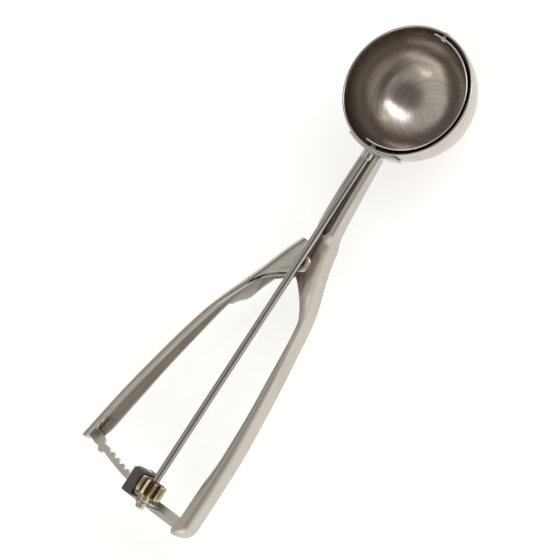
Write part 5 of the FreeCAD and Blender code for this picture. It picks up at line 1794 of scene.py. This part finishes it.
    def gear(self, name: str, centre: Point, first: float, bore: float) -> bpy.types.Object:
        """A brass gear: one tooth copied round the axis, with its hub behind.

        Args:
            name: Name of the piece.
            centre: A point on its axis.
            first: Angle of one tooth.
            bore: Radius of its bore.

        Returns:
            The gear.
        """
        sizes = self.sizes
        half_step = math.pi / sizes.gear_teeth
        pressure = math.radians(20)
        base = sizes.gear_radius * math.cos(pressure)
        half = half_step / 2 - 0.2 / (2 * sizes.gear_radius) + math.tan(pressure) - pressure
        side = [(sizes.gear_root, half_step), (sizes.gear_root, (half_step + half) / 2),
                (sizes.gear_root, half)]
        for step in range(5):
            radius = base + (sizes.gear_tip - base) * step / 4
            angle = math.acos(base / radius)
            side.append((radius, half - (math.tan(angle) - angle)))
        outline = [(r, -a) for r, a in side] + [(r, a) for r, a in reversed(side)]
        back, front, soft = sizes.gear_back, sizes.gear_back + sizes.gear_face, self.tooth_soft
        rows = []
        for x, trim in ((back, soft), (back + soft, 0.0), (front - soft, 0.0), (front, soft)):
            rows.append([(x, max(r - trim * (r > sizes.gear_root), sizes.gear_root) * math.cos(a),
                          max(r - trim * (r > sizes.gear_root), sizes.gear_root) * math.sin(a))
                         for r, a in outline])
        work = Workpiece(name)
        work.skin(rows, round_rows=False, capped=False)
        for x in (back, front):
            row = rows[0] if x == back else rows[-1]
            bored = [(x, bore * math.cos(a), bore * math.sin(a)) for _, a in outline]
            work.skin([row, bored], round_rows=False, capped=False)
        work.skin([[(x, bore * math.cos(a), bore * math.sin(a)) for _, a in outline]
                   for x in (back, front)], round_rows=False, capped=False)
        turn = Matrix.Rotation(first, 4, "X")
        tooth = work.done()
        tooth.data.transform(turn)
        made = TREES.grown(tooth, TREES.copies, Count=sizes.gear_teeth,
                           Step=(math.tau / sizes.gear_teeth, 0.0, 0.0),
                           Centre=[part * MM for part in centre], Finish=BRIGHT_STEEL.material())
        hub = ring_outline(sizes.hub_back, sizes.gear_hub, bore, sizes.hub_radius, 0.3)
        ring = Workpiece(f"{name}_hub").turned(hub, centre, steps=48, closed=True).done()
        joined = bmesh.new()
        joined.from_mesh(made.data)
        joined.from_mesh(ring.data)
        bmesh.ops.recalc_face_normals(joined, faces=joined.faces)
        joined.to_mesh(made.data)
        joined.free()
        bpy.data.objects.remove(ring)
        return smooth(made, 32.0)

    def rod(self) -> bpy.types.Object:
        """The long rod: peened knob, plain shank and a stepped end in the blade.

        Returns:
            The rod.
        """
        sizes = self.sizes
        tail = sizes.ear_back - 0.05
        shoulder = -(sizes.bowl_radius - sizes.bowl_wall) + self.blade_gap
        end = shoulder + 0.6
        knob, radius = self.knob_radius, sizes.rod_radius
        start = tail - self.knob_length
        profile = [(start, 0.0), (start, knob * 0.45), (start + 0.18, knob * 0.72),
                   (start + 0.5, knob * 0.93), (start + 0.85, knob), (tail - 0.1, knob),
                   (tail, knob - 0.1), (tail, radius),
                   (shoulder - 0.1, radius), (shoulder, radius - 0.1), (shoulder, 1.0), (end - 0.1, 1.0),
                   (end, 0.9), (end, 0.0)]
        return Workpiece("dressed_sweep_rod").turned(profile, (0, 0, sizes.rod_z), steps=48).done()


@dataclass
class Studio:
    """The floor, the lamps, the world and the camera of the photograph."""

    floor_z: float = -29.4
    floor_tone: float = 0.86
    floor_glow: float = 0.5
    lamp_distance: float = 760.0
    opening: Point = (0.01, -0.464, 0.886)
    along_strips: Point = (0.0, 0.886, 0.464)
    horizon: Colour = (0.93, 0.925, 0.91)
    ring_light: Colour = (0.66, 0.64, 0.60)
    ring_middle: Colour = (0.20, 0.18, 0.17)
    ring_outside: Colour = (0.12, 0.11, 0.105)
    ring_stops: tuple[float, float, float, float] = (0.10, 0.30, 0.80, 0.95)
    horizon_rise: Flat = (0.22, 0.08)
    floor_reach: float = 3000.0
    lamps_face: Point = (-60.0, 0.0, -10.0)
    camera_place: Point = (-78.394, -348.62, 667.559)
    camera_target: Point = (-85.9094, 5.0237, -8.0)
    camera_roll: float = -57.96628
    lens: float = 128.5714

    def build(self) -> None:
        """Set up everything round the object."""
        bpy.context.scene.view_settings.view_transform = "Standard"
        self.camera()
        self.floor()
        self.world()
        self.lamp("window_lamp", (0.637, -0.36, 0.688), (230.0, 620.0), 2.6)
        self.lamp("warm_lamp", (-0.794, -0.425, 0.425), (300.0, 700.0), 1.5, (1.0, 0.96, 0.87))

    def camera(self) -> None:
        """The camera at the photograph's place, turned about its own line of sight."""
        made = bpy.data.objects.new("photo_camera", bpy.data.cameras.new("photo_camera"))
        bpy.context.scene.collection.objects.link(made)
        place, target = Vector(self.camera_place) * MM, Vector(self.camera_target) * MM
        facing = (target - place).to_track_quat("-Z", "Y")
        turn = facing.to_matrix().to_4x4() @ Matrix.Rotation(math.radians(self.camera_roll), 4, "Z")
        made.matrix_world = Matrix.Translation(place) @ turn
        made.data.sensor_width = 36.0
        made.data.lens = self.lens
        made.data.clip_start = 0.01
        bpy.context.scene.camera = made

    def floor(self) -> None:
        """A plain pale floor that keeps the object's shadow and is white in the picture."""
        work = Workpiece("floor")
        reach = self.floor_reach
        corners = [work.mesh.verts.new(Vector((x, y, self.floor_z)) * MM)
                   for x, y in ((-reach, -reach), (reach, -reach), (reach, reach), (-reach, reach))]
        work.mesh.faces.new(corners)
        floor = work.done()
        material = bpy.data.materials.new("pale_floor")
        material.use_nodes = True
        wiring = Wiring(material.node_tree)
        material.node_tree.nodes.clear()
        matt = wiring.add("ShaderNodeBsdfDiffuse")
        matt.inputs["Color"].default_value = (self.floor_tone,) * 3 + (1.0,)
        glow = wiring.add("ShaderNodeEmission")
        path = wiring.add("ShaderNodeLightPath")
        seen = wiring.math("MAXIMUM", path.outputs["Is Camera Ray"], path.outputs["Is Glossy Ray"])
        seen = wiring.math("MAXIMUM", seen, path.outputs["Is Transmission Ray"])
        wiring.link(wiring.math("MULTIPLY", seen, self.floor_glow), glow.inputs["Strength"])
        both = wiring.add("ShaderNodeAddShader")
        wiring.link(matt.outputs[0], both.inputs[0])
        wiring.link(glow.outputs[0], both.inputs[1])
        wiring.link(both.outputs[0], wiring.add("ShaderNodeOutputMaterial").inputs["Surface"])
        floor.data.materials.append(material)

    def world(self) -> None:
        """A soft surrounding, light in a wide ring round the opening over the object and at the horizon."""
        world = bpy.data.worlds.new("studio")
        world.use_nodes = True
        wiring = Wiring(world.node_tree)
        back = world.node_tree.nodes["Background"]
        place = wiring.add("ShaderNodeTexCoord")
        facing = wiring.add("ShaderNodeVectorMath", operation="DOT_PRODUCT")
        wiring.link(place.outputs["Generated"], facing.inputs[0])
        facing.inputs[1].default_value = self.opening
        ramp = wiring.add("ShaderNodeValToRGB")
        ramp.color_ramp.interpolation = "EASE"
        stops = ramp.color_ramp.elements
        dark, light, fading, middle = self.ring_stops
        stops[0].position, stops[0].color = dark, (*self.ring_outside, 1.0)
        stops[1].position, stops[1].color = light, (*self.ring_light, 1.0)
        for position, colour in ((fading, self.ring_light), (middle, self.ring_middle)):
            stops.new(position).color = (*colour, 1.0)
        wiring.link(facing.outputs["Value"], ramp.inputs["Fac"])
        height = wiring.add("ShaderNodeSeparateXYZ")
        wiring.link(place.outputs["Generated"], height.inputs[0])
        both = wiring.add("ShaderNodeMix", data_type="RGBA")
        wiring.link(wiring.spread(height.outputs["Z"], *self.horizon_rise), both.inputs["Factor"])
        wiring.link(ramp.outputs["Color"], both.inputs[6])
        both.inputs[7].default_value = (*self.horizon, 1.0)
        wiring.link(both.outputs[2], back.inputs["Color"])
        back.inputs["Strength"].default_value = 1.0
        bpy.context.scene.world = world

    def lamp(self, name: str, direction: Point, size: Flat, glow: float,
             colour: Colour = (1.0, 1.0, 1.0)) -> None:
        """A long soft lamp that faces the middle of the object.

        Args:
            name: Its name.
            direction: Where it hangs, seen from the object.
            size: Its width and its length.
            glow: How bright its face is, where 1 is white.
            colour: Colour of its light.
        """
        data = bpy.data.lights.new(name, "AREA")
        data.shape = "RECTANGLE"
        data.size, data.size_y = size[0] * MM, size[1] * MM
        data.energy = glow * math.pi * data.size * data.size_y
        data.color = colour
        made = bpy.data.objects.new(name, data)
        bpy.context.scene.collection.objects.link(made)
        away = Vector(direction).normalized()
        side = Vector(self.along_strips).cross(away).normalized()
        turn = Matrix((side, away.cross(side), away)).transposed().to_4x4()
        middle = Vector(self.lamps_face)
        made.matrix_world = Matrix.Translation((middle + away * self.lamp_distance) * MM) @ turn


def main() -> None:
    """Build the studio and every sub-assembly in order."""
    logging.basicConfig(level=logging.INFO, format="%(name)s: %(message)s")
    sizes = Sizes()
    Studio().build()
    for part in (ScoopBowl(sizes), FixedArm(sizes), SqueezeLever(sizes), Hinge(sizes), TailGears(sizes)):
        part.build()


if __name__ == "__main__":
    main()
